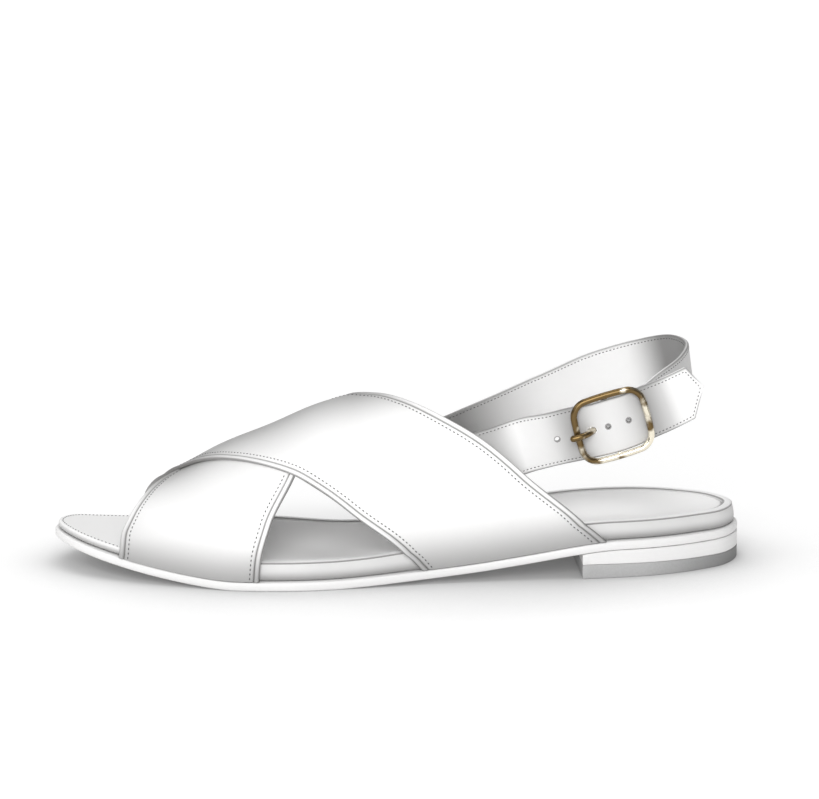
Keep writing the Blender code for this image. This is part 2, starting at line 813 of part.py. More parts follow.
def make_heel_top_piece(collection):
    ring = heel_ring()
    finish = material("heel_rubber", (0.40, 0.40, 0.41), 0.6)
    small = inset(ring, HEEL_ROUND)
    rings = [raised(small, 0.0), raised(ring, HEEL_ROUND), raised(ring, heel_split(ring[:, 0]) - GAP / 2)]
    return plate("heel_top_piece", rings, finish, collection, has_tips=False)


def make_upper(collection, guides):
    finish = material("upper_leather", (0.88, 0.88, 0.87), 0.4)
    upper = vamp_strap("upper", UNDER_STRAP, flat_lift, finish, collection)
    over = vamp_strap("over_strap", OVER_STRAP, over_lift, finish, guides)
    boolean(upper, over, "UNION")
    return upper


def make_billet_strap(collection, guides):
    finish = material("billet_leather", (0.88, 0.88, 0.87), 0.4)
    rows = [anchor_row(anchor) for anchor in BILLET_ANCHORS] + billet_rows()
    strap = band("billet_strap", rows, finish, collection, TIP_LENGTH)
    for number, along in enumerate(SLING_HOLES):
        ends = [buckle_point(along, 0.0, out) for out in HOLE_OUT]
        cutter = wire("billet_hole_%d" % number, ends, SLING_HOLE, finish, guides)
        boolean(strap, cutter, "DIFFERENCE")
    rise = prong_path()[PRONG_STEPS:PRONG_STEPS + 2]
    pierce = wire("prong_hole", rise, PRONG_WIRE + GAP, finish, guides)
    boolean(strap, pierce, "DIFFERENCE")
    return strap


def make_heel_strap(collection, guides):
    finish = material("heel_strap_leather", (0.88, 0.88, 0.87), 0.4)
    rows = fold_rows() + [loop_row(row) for row in HEEL_LOOP]
    rows += [anchor_row(anchor) for anchor in HEEL_ANCHORS]
    strap = band("heel_strap", rows, finish, collection)
    low, high = SLOT_OUT
    corners = [(along, low) for along in SLOT_ALONG] + [(along, high) for along in reversed(SLOT_ALONG)]
    sides = []
    for across in (-SLOT_HALF, SLOT_HALF):
        sides.append([buckle_point(along, across, out) for along, out in corners])
    boolean(strap, sleeve("prong_slot", sides, finish, guides), "DIFFERENCE")
    return strap


def frame_path():
    """Middle of the buckle's wire: a rectangle with round corners."""
    half_long = FRAME_LONG / 2 - FRAME_WIRE
    half_tall = FRAME_TALL / 2 - FRAME_WIRE
    radius = FRAME_CORNER - FRAME_WIRE
    points = []
    for quarter, (along, across) in enumerate(((1, 1), (-1, 1), (-1, -1), (1, -1))):
        for turn in np.linspace(0.0, math.pi / 2, CORNER_STEPS) + quarter * math.pi / 2:
            long_place = along * (half_long - radius) + radius * math.cos(turn)
            tall_place = across * (half_tall - radius) + radius * math.sin(turn)
            points.append(buckle_point(long_place, tall_place, FRAME_OUT))
    return points


def bar_path():
    """Middle of the centre bar, dropped behind the frame on two legs."""
    rail = FRAME_TALL / 2 - FRAME_WIRE
    half = [(rail, FRAME_OUT)]
    for turn in np.linspace(0.0, math.pi / 2, BEND_STEPS):
        half.append((rail - BAR_BEND * (1 - math.cos(turn)), BAR_BEND * (1 - math.sin(turn))))
    ends = half + [(-across, out) for across, out in reversed(half)]
    return [buckle_point(0.0, across, out) for across, out in ends]


def prong_path():
    """Middle of the prong: half round the bar, up through the strap and over the frame's front."""
    over = FRAME_OUT + FRAME_WIRE + GAP + PRONG_WIRE
    bar_front = FRAME_LONG / 2 - FRAME_WIRE
    lies = []
    for turn in np.linspace(0.0, -math.radians(PRONG_WRAP), PRONG_STEPS):
        lies.append((HOOK_RADIUS * math.cos(turn), HOOK_RADIUS * math.sin(turn)))
    lies.append(PRONG_LIFT)
    lies.append((-bar_front + PRONG_CREST, over - PRONG_DROP))
    lies.append((-bar_front, over))
    lies.append((-PRONG_REACH + PRONG_WIRE, over - PRONG_DROP))
    return [buckle_point(along, 0.0, out) for along, out in lies]


def make_buckle(collection, guides):
    finish = material("buckle_brass", (0.80, 0.62, 0.28), 0.22, 1.0)
    frame = wire("buckle_frame", frame_path(), FRAME_WIRE, finish, collection, closed=True)
    bar = wire("buckle_bar", bar_path(), BAR_WIRE, finish, guides)
    boolean(frame, bar, "UNION")
    prong_finish = material("prong_brass", (0.80, 0.62, 0.28), 0.22, 1.0)
    wire("buckle_prong", prong_path(), PRONG_WIRE, prong_finish, collection)


def clear_scene():
    for thing in list(bpy.data.objects):
        bpy.data.objects.remove(thing)


def main():
    clear_scene()
    sandal = scene_collection("leather_sandal")
    guides = scene_collection("guides")
    make_outsole(sandal)
    make_footbed(sandal)
    make_insole(sandal)
    make_heel_block(sandal)
    make_heel_top_piece(sandal)
    make_upper(sandal, guides)
    make_billet_strap(sandal, guides)
    make_heel_strap(sandal, guides)
    make_buckle(sandal, guides)


main()
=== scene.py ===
import math
from collections import namedtuple

import bmesh
import bpy
import numpy as np
from mathutils import Matrix


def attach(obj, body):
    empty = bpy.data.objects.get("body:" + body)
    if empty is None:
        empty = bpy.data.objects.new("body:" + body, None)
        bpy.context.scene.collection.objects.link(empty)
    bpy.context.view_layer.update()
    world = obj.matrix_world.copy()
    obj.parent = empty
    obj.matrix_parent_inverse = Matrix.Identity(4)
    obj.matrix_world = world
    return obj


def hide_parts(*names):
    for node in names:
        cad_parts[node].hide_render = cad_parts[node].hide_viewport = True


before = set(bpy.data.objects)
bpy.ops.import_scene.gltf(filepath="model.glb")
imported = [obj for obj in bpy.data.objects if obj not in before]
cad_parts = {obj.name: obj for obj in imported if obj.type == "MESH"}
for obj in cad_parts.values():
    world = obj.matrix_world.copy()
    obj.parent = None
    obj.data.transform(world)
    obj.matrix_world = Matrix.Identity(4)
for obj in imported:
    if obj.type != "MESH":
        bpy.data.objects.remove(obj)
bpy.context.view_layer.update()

# Lengths are millimetres in the frame of the solids: toe to -X, outer side -Y, floor Z = 0.
# A station is a share of the sole's length from the toe. A girth runs over the foot, from 0 at its
# outer side to 1 at its inner side.
MM = 0.001
GAP = 0.3
UP = np.array([0.0, 0.0, 1.0])
WELD_DISTANCE = 0.0001
SMOOTH_ANGLE = math.radians(40.0)

# Driving sizes
SOLE_LENGTH = 253.0
BALL_WIDTH = 82.0
INSTEP_HEIGHT = 60.0
HEEL_HEIGHT = 10.4
TOE_SPRING = 10.5
UPPER_WALL = 2.0
SLING_WALL = 1.6

# Outsole
OUTSOLE_THICK = 3.2
OUTSOLE_LEDGE = 2.7
OUTSOLE_END_LEDGE = 1.3
OUTSOLE_ROUND = 1.0
OUTSOLE_ROUND_POWER = 0.6
OUTSOLE_EDGE_STEPS = 15
LEDGE_RUN = 20.0
TREAD_FRONT = 0.254
TREAD_BACK = 0.389
SEAT_FRONT = 0.81
SPRING_POWER = 1.5
SPINE_END = 30.0
OUTLINE_STATIONS = 150
OUTLINE_SPACING = 0.4

# Footbed with its rim
FOOTBED_HEIGHT = 6.4
FOOTBED_TOE_HEIGHT = 1.6
FOOTBED_RISE = (0.087, 0.278)
FOOTBED_UNDERCUT = 1.2
FOOTBED_TOE_INSET = 0.6
FOOTBED_SHADE_HEIGHT = 0.7
ARCH_FILL = 2.0
ARCH_FRONT = (0.43, 0.64)
ARCH_BACK = (0.66, 0.83)
RIM_WIDTH = 4.5
RIM_TOE_WIDTH = 0.5
RIM_INSET = 0.75
RIM_TOE_INSET = 2.0
RIM_CLEARANCE = 0.1
RIM_LEAST_WIDTH = 1.0
RIM_TOE_RISE = 0.2
RECESS_DEPTH = 1.7
RECESS_TOE_DEPTH = 0.02
RECESS_INSET = 0.6
RECESS_DROP = 0.2
DISH_DEPTH = 1.5

# Sock
INSOLE_THICK = 1.2
SOCK_TOE_THICK = 0.8
SOCK_TOE_FOOT = 0.1
SOCK_UNDERCUT = 1.0
SOCK_ROUND = 0.9
SOCK_EDGE_TURN = (-80.0, 90.0)
SOCK_EDGE_SHADE = (-40.0, 85.0)
SOCK_EDGE_STEPS = 12

# Rings across the faces of the sole's layers, as shares of each layer's plan
OUTSOLE_UNDER = (0.1, 0.4, 0.7, 0.9, 0.97)
OUTSOLE_OVER = (0.97, 0.85, 0.5, 0.1)
FOOTBED_UNDER = (0.1, 0.6, 0.95)
FOOTBED_OVER = (0.95, 0.6, 0.1)
SOCK_UNDER = (0.1, 0.5, 0.95)
SOCK_OVER = (0.985, 0.95, 0.9, 0.82, 0.72, 0.6, 0.45, 0.3, 0.15)

# Scuffs of the tread on the rings of the outsole's underside, and round the foot of its edge
TREAD_SCUFFS = (1.0, 1.0, 1.0, 1.0, 0.9)
EDGE_SCUFF = 0.35
EDGE_SCUFF_TURN = -60.0

# Heel
HEEL_BREAST = 0.758
HEEL_SPLIT_FRONT = 5.3
HEEL_SPLIT_BACK = 4.6
HEEL_STATIONS = 64
# Painted shade on the heel rubber, towards its back, between these places along X
HEEL_BACK_SHADE = (85.0, 127.0)

# Buckle
BUCKLE_CENTRE = np.array([75.6, -24.4, 57.0])
BUCKLE_RISE = math.radians(15.5)
BUCKLE_TURN = math.radians(2.0)
FRAME_LONG = 28.4
FRAME_TALL = 25.2
FRAME_CORNER = 7.0
FRAME_CORNER_STEPS = 12
FRAME_WIRE = 1.2
FRAME_OUT = 5.3
FRAME_SPACING = 0.8
FRAME_SIDES = 24
BAR_WIRE = 1.1
BAR_BEND = 1.5
BAR_BEND_STEPS = 6
BAR_IN = 0.5
BAR_SPACING = 0.6
BAR_SIDES = 16
LEG_WIRE = 0.75
LEG_SWELL = (3.4, 5.0)
PRONG_WIRE = 1.2
PRONG_REACH = 17.6
PRONG_LIFT = (-5.2, 1.4)
PRONG_CREST = 2.4
PRONG_DROP = 0.5
PRONG_STEPS = 5
PRONG_WRAP = math.radians(165.0)
PRONG_SPACING = 0.25
PRONG_SIDES = 20
PRONG_END_ROUND = 0.995
SLOT_HALF = 1.6
SLOT_ALONG = (-5.5, 4.4)
SLOT_OUT = (-6.0, 1.7)

# Sling straps
SLING_HOLE = 0.85
SLING_HOLES = (-20.4, -1.6, 6.2)
HOLE_RING = (1.1, 1.3)
HOLE_CUT = (-2.0, 10.0)
HOLE_SIDES = 32
TIP_LENGTHS = (7.4, 4.4)
TIP_BLUNT = 0.04
TIP_DEPTH = 3.0
FOLD_WIDTH = 18.4
FOLD_FLAP = ((13.0, -1.3), (8.0, -1.6), (4.0, -2.05))
FOLD_WAY_OUT = ((4.0, 1.95), (8.0, 1.4), (13.0, 0.6))
FOLD_STEPS = 9
HEEL_LOOP_MIDDLE = (70.0, 2.0)
ANCHOR_GAP = 0.5
BAND_FIELD = 40
BAND_SPACING = 0.45

# Painted shade on the billet, by the distance along it from the buckle's middle
BILLET_SHADE = 0.42
BILLET_FOOT_SHADE = (25.0, 44.0)
BILLET_TIP_LIGHT = (16.0, 28.0)
BEND_SHADE = 0.53
BEND_REACH = 7.0

# Painted shade on the heel strap, by the place along X
HEEL_STRAP_FRONT = (20.0, 64.0)
HEEL_STRAP_BACK = (86.0, 104.0)
HEEL_STRAP_OUTSIDE = (0.3, 0.7)
HEEL_STRAP_INSIDE = 1.2

# Stitches
Stitch = namedtuple("Stitch", "pitch length width height")
VAMP_STITCH = Stitch(1.65, 0.95, 0.42, 0.34)
SLING_STITCH = Stitch(1.40, 0.80, 0.36, 0.30)
STITCH_DIP = 0.45
STITCH_PROBE = 0.2
SOCK_STITCH_INSET = 1.6
SOCK_STITCH_RISE = 0.05
SOCK_STITCH_END = 0.165
VAMP_STITCH_INSET = 3.4
VAMP_STITCH_SINK = 0.02
VAMP_STITCH_END = 0.004
VAMP_STITCH_STATIONS = 400
SLING_STITCH_INSET = 1.4
SLING_STITCH_RISE = 0.98
SLING_STITCH_LEAST = 0.2
BILLET_STITCH_START = -56.0
BUCKLE_STITCH_STOP = 13.0
HEEL_STITCH_STOPS = (34.0, 4.0)

# Plan of the sole: its outer and inner edge as shares of the ball's width
Plan = namedtuple("Plan", "station outer inner")
PLAN = (
    Plan(0.000, -0.073, 0.073),
    Plan(0.020, 0.067, 0.250),
    Plan(0.050, 0.171, 0.335),
    Plan(0.100, 0.278, 0.432),
    Plan(0.180, 0.396, 0.485),
    Plan(0.260, 0.482, 0.491),
    Plan(0.340, 0.507, 0.421),
    Plan(0.440, 0.473, 0.317),
    Plan(0.540, 0.420, 0.288),
    Plan(0.660, 0.390, 0.317),
    Plan(0.780, 0.376, 0.357),
    Plan(0.860, 0.341, 0.366),
    Plan(0.930, 0.260, 0.305),
    Plan(0.975, 0.165, 0.200),
    Plan(1.000, -0.025, 0.025),
)

# Side of the footbed from its foot up, with each height as a share of the whole
Level = namedtuple("Level", "inset height")
FOOTBED_SIDE = (
    Level(0.35, 0.00),
    Level(0.15, 0.05),
    Level(0.04, 0.15),
    Level(0.00, 0.28),
    Level(0.03, 0.42),
    Level(0.15, 0.56),
    Level(0.34, 0.70),
    Level(0.58, 0.83),
    Level(0.82, 0.93),
    Level(1.10, 1.00),
)

# Rounded edges of the heel's two pieces, measured from the split, the floor and the outsole
STACK_FOOT = (Level(0.25, 0.05), Level(0.00, 0.30))
STACK_TOP = (Level(0.00, -0.40), Level(0.25, -0.15))
RUBBER_FOOT = (Level(0.50, 0.00), Level(0.15, 0.15), Level(0.00, 0.50))
RUBBER_TOP = (Level(0.00, -0.20), Level(0.20, -0.02))

# Band round the top of the footbed, from the outside in and back underneath
Rim = namedtuple("Rim", "across height seam")
RIM_PROFILE = (
    Rim(0.02, -0.90, 1.0),
    Rim(0.00, -0.30, 1.0),
    Rim(0.01, -0.02, 0.9),
    Rim(0.06, 0.10, 0.3),
    Rim(0.13, 0.18, 0.0),
    Rim(0.30, 0.30, 0.0),
    Rim(0.50, 0.36, 0.0),
    Rim(0.72, 0.32, 0.0),
    Rim(0.80, 0.26, 0.9),
    Rim(0.90, 0.15, 1.0),
    Rim(0.97, 0.00, 0.9),
    Rim(1.00, -0.15, 0.3),
    Rim(1.00, -0.90, 0.3),
)

# The last that the straps lie on: how far in its ridge lies, the ridge's height as a share of the
# instep's, and how full its sides are
Last = namedtuple("Last", "station ridge_in ridge_height fullness")
LAST = (
    Last(0.055, 9.0, 0.317, 2.20),
    Last(0.123, 9.0, 0.425, 2.10),
    Last(0.183, 9.0, 0.517, 2.05),
    Last(0.250, 9.0, 0.667, 2.00),
    Last(0.320, 8.0, 0.792, 2.00),
    Last(0.390, 7.0, 0.925, 1.95),
    Last(0.450, 6.0, 1.000, 1.90),
    Last(0.530, 5.0, 1.067, 1.95),
    Last(0.620, 4.0, 1.125, 2.20),
    Last(0.720, 3.0, 1.183, 2.00),
    Last(0.820, 2.0, 1.233, 1.80),
)
FOOT_GIRTH = 0.08
PROBE_X = 0.5
PROBE_GIRTH = 0.012

# Stations of the front and rear edge of the two crossed straps, from the outer side to the inner
Edge = namedtuple("Edge", "girth front rear")
UNDER_EDGES = (
    Edge(-0.08, 0.095, 0.292),
    Edge(0.00, 0.096, 0.294),
    Edge(0.12, 0.098, 0.310),
    Edge(0.25, 0.109, 0.347),
    Edge(0.40, 0.131, 0.381),
    Edge(0.50, 0.156, 0.413),
    Edge(0.60, 0.201, 0.462),
    Edge(0.75, 0.290, 0.553),
    Edge(0.88, 0.395, 0.634),
    Edge(1.00, 0.474, 0.708),
    Edge(1.08, 0.510, 0.738),
)
OVER_EDGES = (
    Edge(-0.08, 0.524, 0.793),
    Edge(0.00, 0.498, 0.763),
    Edge(0.12, 0.421, 0.678),
    Edge(0.25, 0.341, 0.601),
    Edge(0.40, 0.251, 0.516),
    Edge(0.50, 0.208, 0.466),
    Edge(0.60, 0.164, 0.417),
    Edge(0.75, 0.140, 0.357),
    Edge(0.88, 0.129, 0.323),
    Edge(1.00, 0.122, 0.310),
    Edge(1.08, 0.120, 0.306),
)
OVER_LIFT = 1.3
OVER_FALL = 15.0
OVER_CLEARANCE = 0.05
OVER_LEAST_WALL = 1.0
OVER_MARGIN = 0.3
UNDER_FALL = 12.0
STRAP_ROWS = 200
STRAP_FIELD = 36
STRAP_LINING = 22
SLANT_STEP = 0.03
SLANT_LEAST = 0.3
# Painted shade on the vamp straps: darker near the sole up to a height, and in a band about the ridge
PAINTED_SHADE_RISE = (-2.0, 22.0)
RIDGE_PAINTED_SHADE = 1.1
RIDGE_GIRTH = 0.56
RIDGE_SPREAD = (0.17, 0.23)

# Rolled edge and lining of a vamp strap: distance from the edge, height of the face, and how much
# of the dark seam line lies there
Rib = namedtuple("Rib", "inset height seam")
EDGE_RIBS = (
    Rib(0.00, 1.00, 1.00),
    Rib(0.08, 1.50, 1.00),
    Rib(0.25, 1.92, 0.80),
    Rib(0.55, 2.20, 0.05),
    Rib(0.95, 2.30, 0.00),
    Rib(1.30, 2.22, 0.00),
    Rib(1.60, 2.00, 0.15),
    Rib(1.80, 1.68, 0.70),
    Rib(1.95, 1.48, 1.00),
    Rib(2.10, 1.62, 0.70),
    Rib(2.30, 1.86, 0.15),
    Rib(2.60, 2.00, 0.00),
    Rib(3.00, 1.99, 0.00),
    Rib(3.40, 1.88, 0.06),
    Rib(3.80, 1.99, 0.00),
    Rib(4.40, 2.00, 0.00),
)
LINING_RIBS = (
    Rib(0.12, 0.50, 0.20),
    Rib(0.40, 0.12, 0.20),
    Rib(0.80, 0.00, 0.20),
)

# Turned edge of a sling strap, with heights as shares of half its wall
BAND_RIBS = (
    Rib(0.00, 0.00, 0.00),
    Rib(0.06, 0.45, 0.30),
    Rib(0.22, 0.80, 1.00),
    Rib(0.50, 1.02, 0.50),
    Rib(0.95, 1.04, 0.00),
    Rib(1.40, 0.88, 0.00),
    Rib(1.85, 1.00, 0.00),
    Rib(2.60, 1.00, 0.00),
)

# Heel strap from the buckle round the heel to the inner side
Loop = namedtuple("Loop", "x y z lean width")
HEEL_LOOP = (
    Loop(96.0, -20.0, 65.4, 4.0, 19.2),
    Loop(104.0, -11.0, 69.0, 6.0, 19.6),
    Loop(107.6, 1.0, 71.4, 8.0, 20.0),
    Loop(104.0, 12.0, 71.8, 8.0, 20.0),
    Loop(92.0, 22.5, 68.0, 8.0, 20.0),
    Loop(74.0, 27.5, 62.0, 8.0, 20.0),
    Loop(54.0, 23.6, 54.8, 10.0, 20.0),
)

# Ends of the sling straps, inside the vamp straps
Anchor = namedtuple("Anchor", "station girth width lean shift")
HEEL_ANCHORS = (
    Anchor(0.622, 0.812, 20.0, 0.70, 0.0),
    Anchor(0.570, 0.831, 20.0, 0.95, 0.0),
    Anchor(0.530, 0.841, 20.0, 1.00, 0.0),
    Anchor(0.495, 0.849, 20.0, 1.00, 0.0),
)
BILLET_ANCHORS = (
    Anchor(0.575, 0.171, 20.4, 1.00, 0.0),
    Anchor(0.610, 0.175, 20.4, 1.00, 0.0),
    Anchor(0.645, 0.184, 20.4, 0.80, 0.6),
    Anchor(0.675, 0.196, 20.2, 0.45, 1.8),
)

# Billet through the buckle to its tip
Billet = namedtuple("Billet", "along across out width")
BILLET = (
    Billet(-23.0, 0.3, 0.2, 20.2),
    Billet(-12.8, 0.2, 2.7, 20.4),
    Billet(-6.0, -0.25, 3.7, 20.1),
    Billet(0.0, -0.3, 4.1, 20.3),
    Billet(6.0, -0.25, 3.7, 20.1),
    Billet(12.8, 0.4, 2.7, 20.0),
    Billet(20.0, 0.9, 1.7, 19.7),
    Billet(30.4, 1.9, -0.9, 19.4),
    Billet(36.4, 2.4, -3.0, 19.4),
)

# Camera of the photograph, and the stage, in metres
CAMERA_AZIMUTH = math.radians(-4.0)
CAMERA_ELEVATION = math.radians(12.5)
CAMERA_DISTANCE = 1.5
CAMERA_TARGET = np.array([0.0042, 0.0, 0.0612])
CAMERA_LENS = 179.5
CAMERA_SENSOR = 36.0
CAMERA_CLIP = (0.05, 60.0)
FLOOR_SIZE = 30.0
FLOOR_SHADE_REACH = 0.07
FLOOR_SHADE_POWER = 2.4
FLOOR_SHADE_DEPTH = 0.88
FLOOR_GLOW_NEAR = 0.64
FLOOR_GLOW_GAIN = 0.40
FLOOR_GLOW_RUN = (0.2, 1.6)
SKY_STRENGTH = 0.25
Lamp = namedtuple("Lamp", "name place size power")
LAMPS = (
    Lamp("front_light", (-0.25, -1.75, 0.9), 1.2, 25.5),
    Lamp("toe_light", (-1.3, -0.3, 1.0), 0.8, 5.0),
    Lamp("top_light", (0.0, 0.1, 1.9), 1.2, 10.0),
    Lamp("back_light", (-0.1, 1.5, 0.55), 1.2, 3.0),
)

# Places and directions that follow from the sizes
TOE_X = -SOLE_LENGTH / 2
HEEL_X = SOLE_LENGTH / 2
FOLD_RADIUS = BAR_WIRE + GAP + SLING_WALL / 2
HOOK_RADIUS = BAR_WIRE + GAP + PRONG_WIRE
BUCKLE_OUT = np.array([math.sin(BUCKLE_TURN), -math.cos(BUCKLE_TURN), 0.0])
BUCKLE_LEVEL = np.array([math.cos(BUCKLE_TURN), math.sin(BUCKLE_TURN), 0.0])
BUCKLE_LONG = BUCKLE_LEVEL * math.cos(BUCKLE_RISE) + UP * math.sin(BUCKLE_RISE)
BUCKLE_TALL = np.cross(BUCKLE_OUT, BUCKLE_LONG)


# Curves and tables

def station_x(station):
    return TOE_X + np.asarray(station, float) * SOLE_LENGTH


def ease(x, start, end):
    """0 before start, 1 after end and a soft step between them."""
    share = np.clip((np.asarray(x, float) - start) / (end - start), 0.0, 1.0)
    return share * share * (3.0 - 2.0 * share)


def mix(a, b, share):
    return a + (b - a) * share


def unit(vectors):
    return vectors / np.linalg.norm(vectors, axis=-1, keepdims=True)


def runs_along(path):
    """Distance from the start of a path to each of its points."""
    steps = np.linalg.norm(np.diff(path, axis=0), axis=1)
    return np.concatenate([[0.0], np.cumsum(steps)])


def through(points, spacing, closed=False):
    """Rows about a spacing apart on a smooth curve through the given ones, which start with a place."""
    points = np.asarray(points, float)
    if closed:
        points = np.vstack([points, points[:1]])
    spans = np.diff(points, axis=0)
    lengths = np.linalg.norm(spans[:, :3], axis=1)[:, None]
    slopes = spans / lengths
    inner = (slopes[:-1] * lengths[1:] + slopes[1:] * lengths[:-1]) / (lengths[1:] + lengths[:-1])
    first = slopes[:1]
    last = slopes[-1:]
    if closed:
        first = (last * lengths[0] + first * lengths[-1]) / (lengths[0] + lengths[-1])
        last = first
    tangents = np.vstack([first, inner, last])
    samples = []
    for i, length in enumerate(lengths[:, 0]):
        for t in np.linspace(0.0, 1.0, math.ceil(length / spacing), endpoint=False):
            place = points[i] + spans[i] * t * t * (3 - 2 * t)
            leave = tangents[i] * length * t * (1 - t) ** 2
            arrive = tangents[i + 1] * length * t * t * (1 - t)
            samples.append(place + leave - arrive)
    if not closed:
        samples.append(points[-1])
    return np.array(samples)


def column(table, key, name):
    """A table's column as a smooth function of its key column, with no overshoot."""
    keys = np.array([getattr(row, key) for row in table])
    values = np.array([getattr(row, name) for row in table])
    widths = np.diff(keys)
    rises = np.diff(values) / widths
    slopes = np.concatenate([rises[:1], np.zeros(len(keys) - 2), rises[-1:]])
    for i in range(1, len(keys) - 1):
        if rises[i - 1] * rises[i] > 0:
            near = 2 * widths[i] + widths[i - 1]
            far = widths[i] + 2 * widths[i - 1]
            slopes[i] = (near + far) / (near / rises[i - 1] + far / rises[i])

    def value(at):
        at = np.asarray(at, float)
        i = np.clip(np.searchsorted(keys, at, side="right") - 1, 0, len(keys) - 2)
        t = (at - keys[i]) / widths[i]
        held = np.clip(t, 0.0, 1.0)
        past = (t - held) * widths[i] * np.where(t > 0.5, slopes[i + 1], slopes[i])
        level = mix(values[i], values[i + 1], held ** 2 * (3 - 2 * held))
        lean = held * (1 - held) ** 2 * slopes[i] - held ** 2 * (1 - held) * slopes[i + 1]
        return level + lean * widths[i] + past

    return value


# Shape of the sole

def outline_sides():
    """The sole's outer and inner edge, each as a function of the place along it."""
    inner = [(station_x(row.station), row.inner * BALL_WIDTH) for row in PLAN]
    outer = [(station_x(row.station), -row.outer * BALL_WIDTH) for row in PLAN[1:-1]]
    curve = through(inner + outer[::-1], OUTLINE_SPACING, closed=True)
    curve[:, 1] -= (curve[:, 1].min() + curve[:, 1].max()) / 2
    turn = int(curve[:, 0].argmax())
    inner_side = curve[:turn + 1]
    outer_side = np.vstack([curve[turn:], curve[:1]])[::-1]

    def outer_y(x):
        return np.interp(x, outer_side[:, 0], outer_side[:, 1])

    def inner_y(x):
        return np.interp(x, inner_side[:, 0], inner_side[:, 1])

    return outer_y, inner_y


OUTER_Y, INNER_Y = outline_sides()


def arch_fill(x):
    """How much thicker the footbed is under the arch."""
    front = ease(x, *station_x(ARCH_FRONT))
    back = ease(x, *station_x(ARCH_BACK))
    return ARCH_FILL * (front - back)


def ground_z(x):
    """Underside of the outsole: toe spring, flat tread, rising waist and level heel seat."""
    x = np.asarray(x, float)
    tread_front = station_x(TREAD_FRONT)
    toe = np.clip((tread_front - x) / (tread_front - TOE_X), 0.0, 1.0) ** SPRING_POWER
    rise = HEEL_HEIGHT * ease(x, station_x(TREAD_BACK), station_x(SEAT_FRONT))
    return TOE_SPRING * toe + rise - arch_fill(x)


def ledge(x):
    """How far the outsole stands out past the footbed."""
    x = np.asarray(x, float)
    full = ease(x, TOE_X, TOE_X + LEDGE_RUN) * ease(-x, -HEEL_X, LEDGE_RUN - HEEL_X)
    return mix(OUTSOLE_END_LEDGE, OUTSOLE_LEDGE, full)


def behind_toe(x):
    """0 at the thin toe of the footbed and 1 where it has its full height."""
    return ease(x, *station_x(FOOTBED_RISE))


def outsole_top(x):
    return ground_z(x) + OUTSOLE_THICK


def footbed_base(x):
    return outsole_top(x) + GAP


def rim_z(x):
    height = mix(FOOTBED_TOE_HEIGHT, FOOTBED_HEIGHT, behind_toe(x)) + arch_fill(x)
    return footbed_base(x) + height


def rim_width(x):
    return mix(RIM_TOE_WIDTH, RIM_WIDTH, behind_toe(x))


def seat_z(x, share):
    """Floor of the footbed's recess, dished towards the middle where share is 0."""
    depth = mix(RECESS_TOE_DEPTH, RECESS_DEPTH, behind_toe(x))
    return rim_z(x) - depth - DISH_DEPTH * behind_toe(x) * (1.0 - share ** 2)


def sock_z(x, share):
    return seat_z(x, share) + GAP + mix(SOCK_TOE_THICK, INSOLE_THICK, behind_toe(x))


def heel_split(x):
    """Height of the seam between the heel's white layers and its rubber."""
    share = (np.asarray(x, float) - station_x(HEEL_BREAST)) / (HEEL_X - station_x(HEEL_BREAST))
    return mix(HEEL_SPLIT_FRONT, HEEL_SPLIT_BACK, share)


def sole_ring():
    """Plan of the outsole as a closed ring: toe tip, outer side, heel tip, inner side."""
    x = -HEEL_X * np.cos(np.linspace(0.0, math.pi, OUTLINE_STATIONS + 1))
    outer = np.column_stack([x, OUTER_Y(x)])
    inner = np.column_stack([x, INNER_Y(x)])
    return np.vstack([outer, inner[-2:0:-1]])


def heel_ring():
    """Plan of the heel: breast corner, outer side, heel tip, inner side, breast corner."""
    breast = station_x(HEEL_BREAST)
    x = breast + (HEEL_X - breast) * np.sin(np.linspace(0.0, math.pi / 2, HEEL_STATIONS + 1))
    outer = np.column_stack([x, OUTER_Y(x)])
    inner = np.column_stack([x, INNER_Y(x)])
    return np.vstack([outer, inner[-2::-1]])


def inset(ring, distance):
    """The ring moved inwards by a distance, which may differ from point to point."""
    along = np.roll(ring, -1, axis=0) - np.roll(ring, 1, axis=0)
    inward = unit(np.column_stack([-along[:, 1], along[:, 0]]))
    return ring + inward * np.broadcast_to(distance, len(ring))[:, None]


def footbed_ring():
    ring = sole_ring()
    return inset(ring, ledge(ring[:, 0]))


def sock_ring():
    """Plan of the sock: over the whole footbed at the toe, and inside its rim behind that."""
    ring = footbed_ring()
    return inset(ring, (rim_width(ring[:, 0]) + GAP) * behind_toe(ring[:, 0]))


def shrink(ring, share):
    """The ring drawn in towards the sole's middle line."""
    x = np.clip(ring[:, 0], TOE_X + SPINE_END, HEEL_X - SPINE_END)
    spine = np.column_stack([x, (OUTER_Y(x) + INNER_Y(x)) / 2])
    return spine + (ring - spine) * share


def raised(ring, z):
    return np.column_stack([ring, np.broadcast_to(z, len(ring))])


def face_rings(plan, shares, height):
    """Rings across a layer's face, at a height worked out from the place along it and the share."""
    rings = []
    for share in shares:
        ring = shrink(plan, share)
        rings.append(raised(ring, height(ring[:, 0], share)))
    return rings


def edge_rings(ring, levels, base):
    """Rings round an edge, inset and raised from a base."""
    return [raised(inset(ring, level.inset), base + level.height) for level in levels]


# Shape of the last and its straps

RIDGE_IN = column(LAST, "station", "ridge_in")
RIDGE_HEIGHT = column(LAST, "station", "ridge_height")
FULLNESS = column(LAST, "station", "fullness")


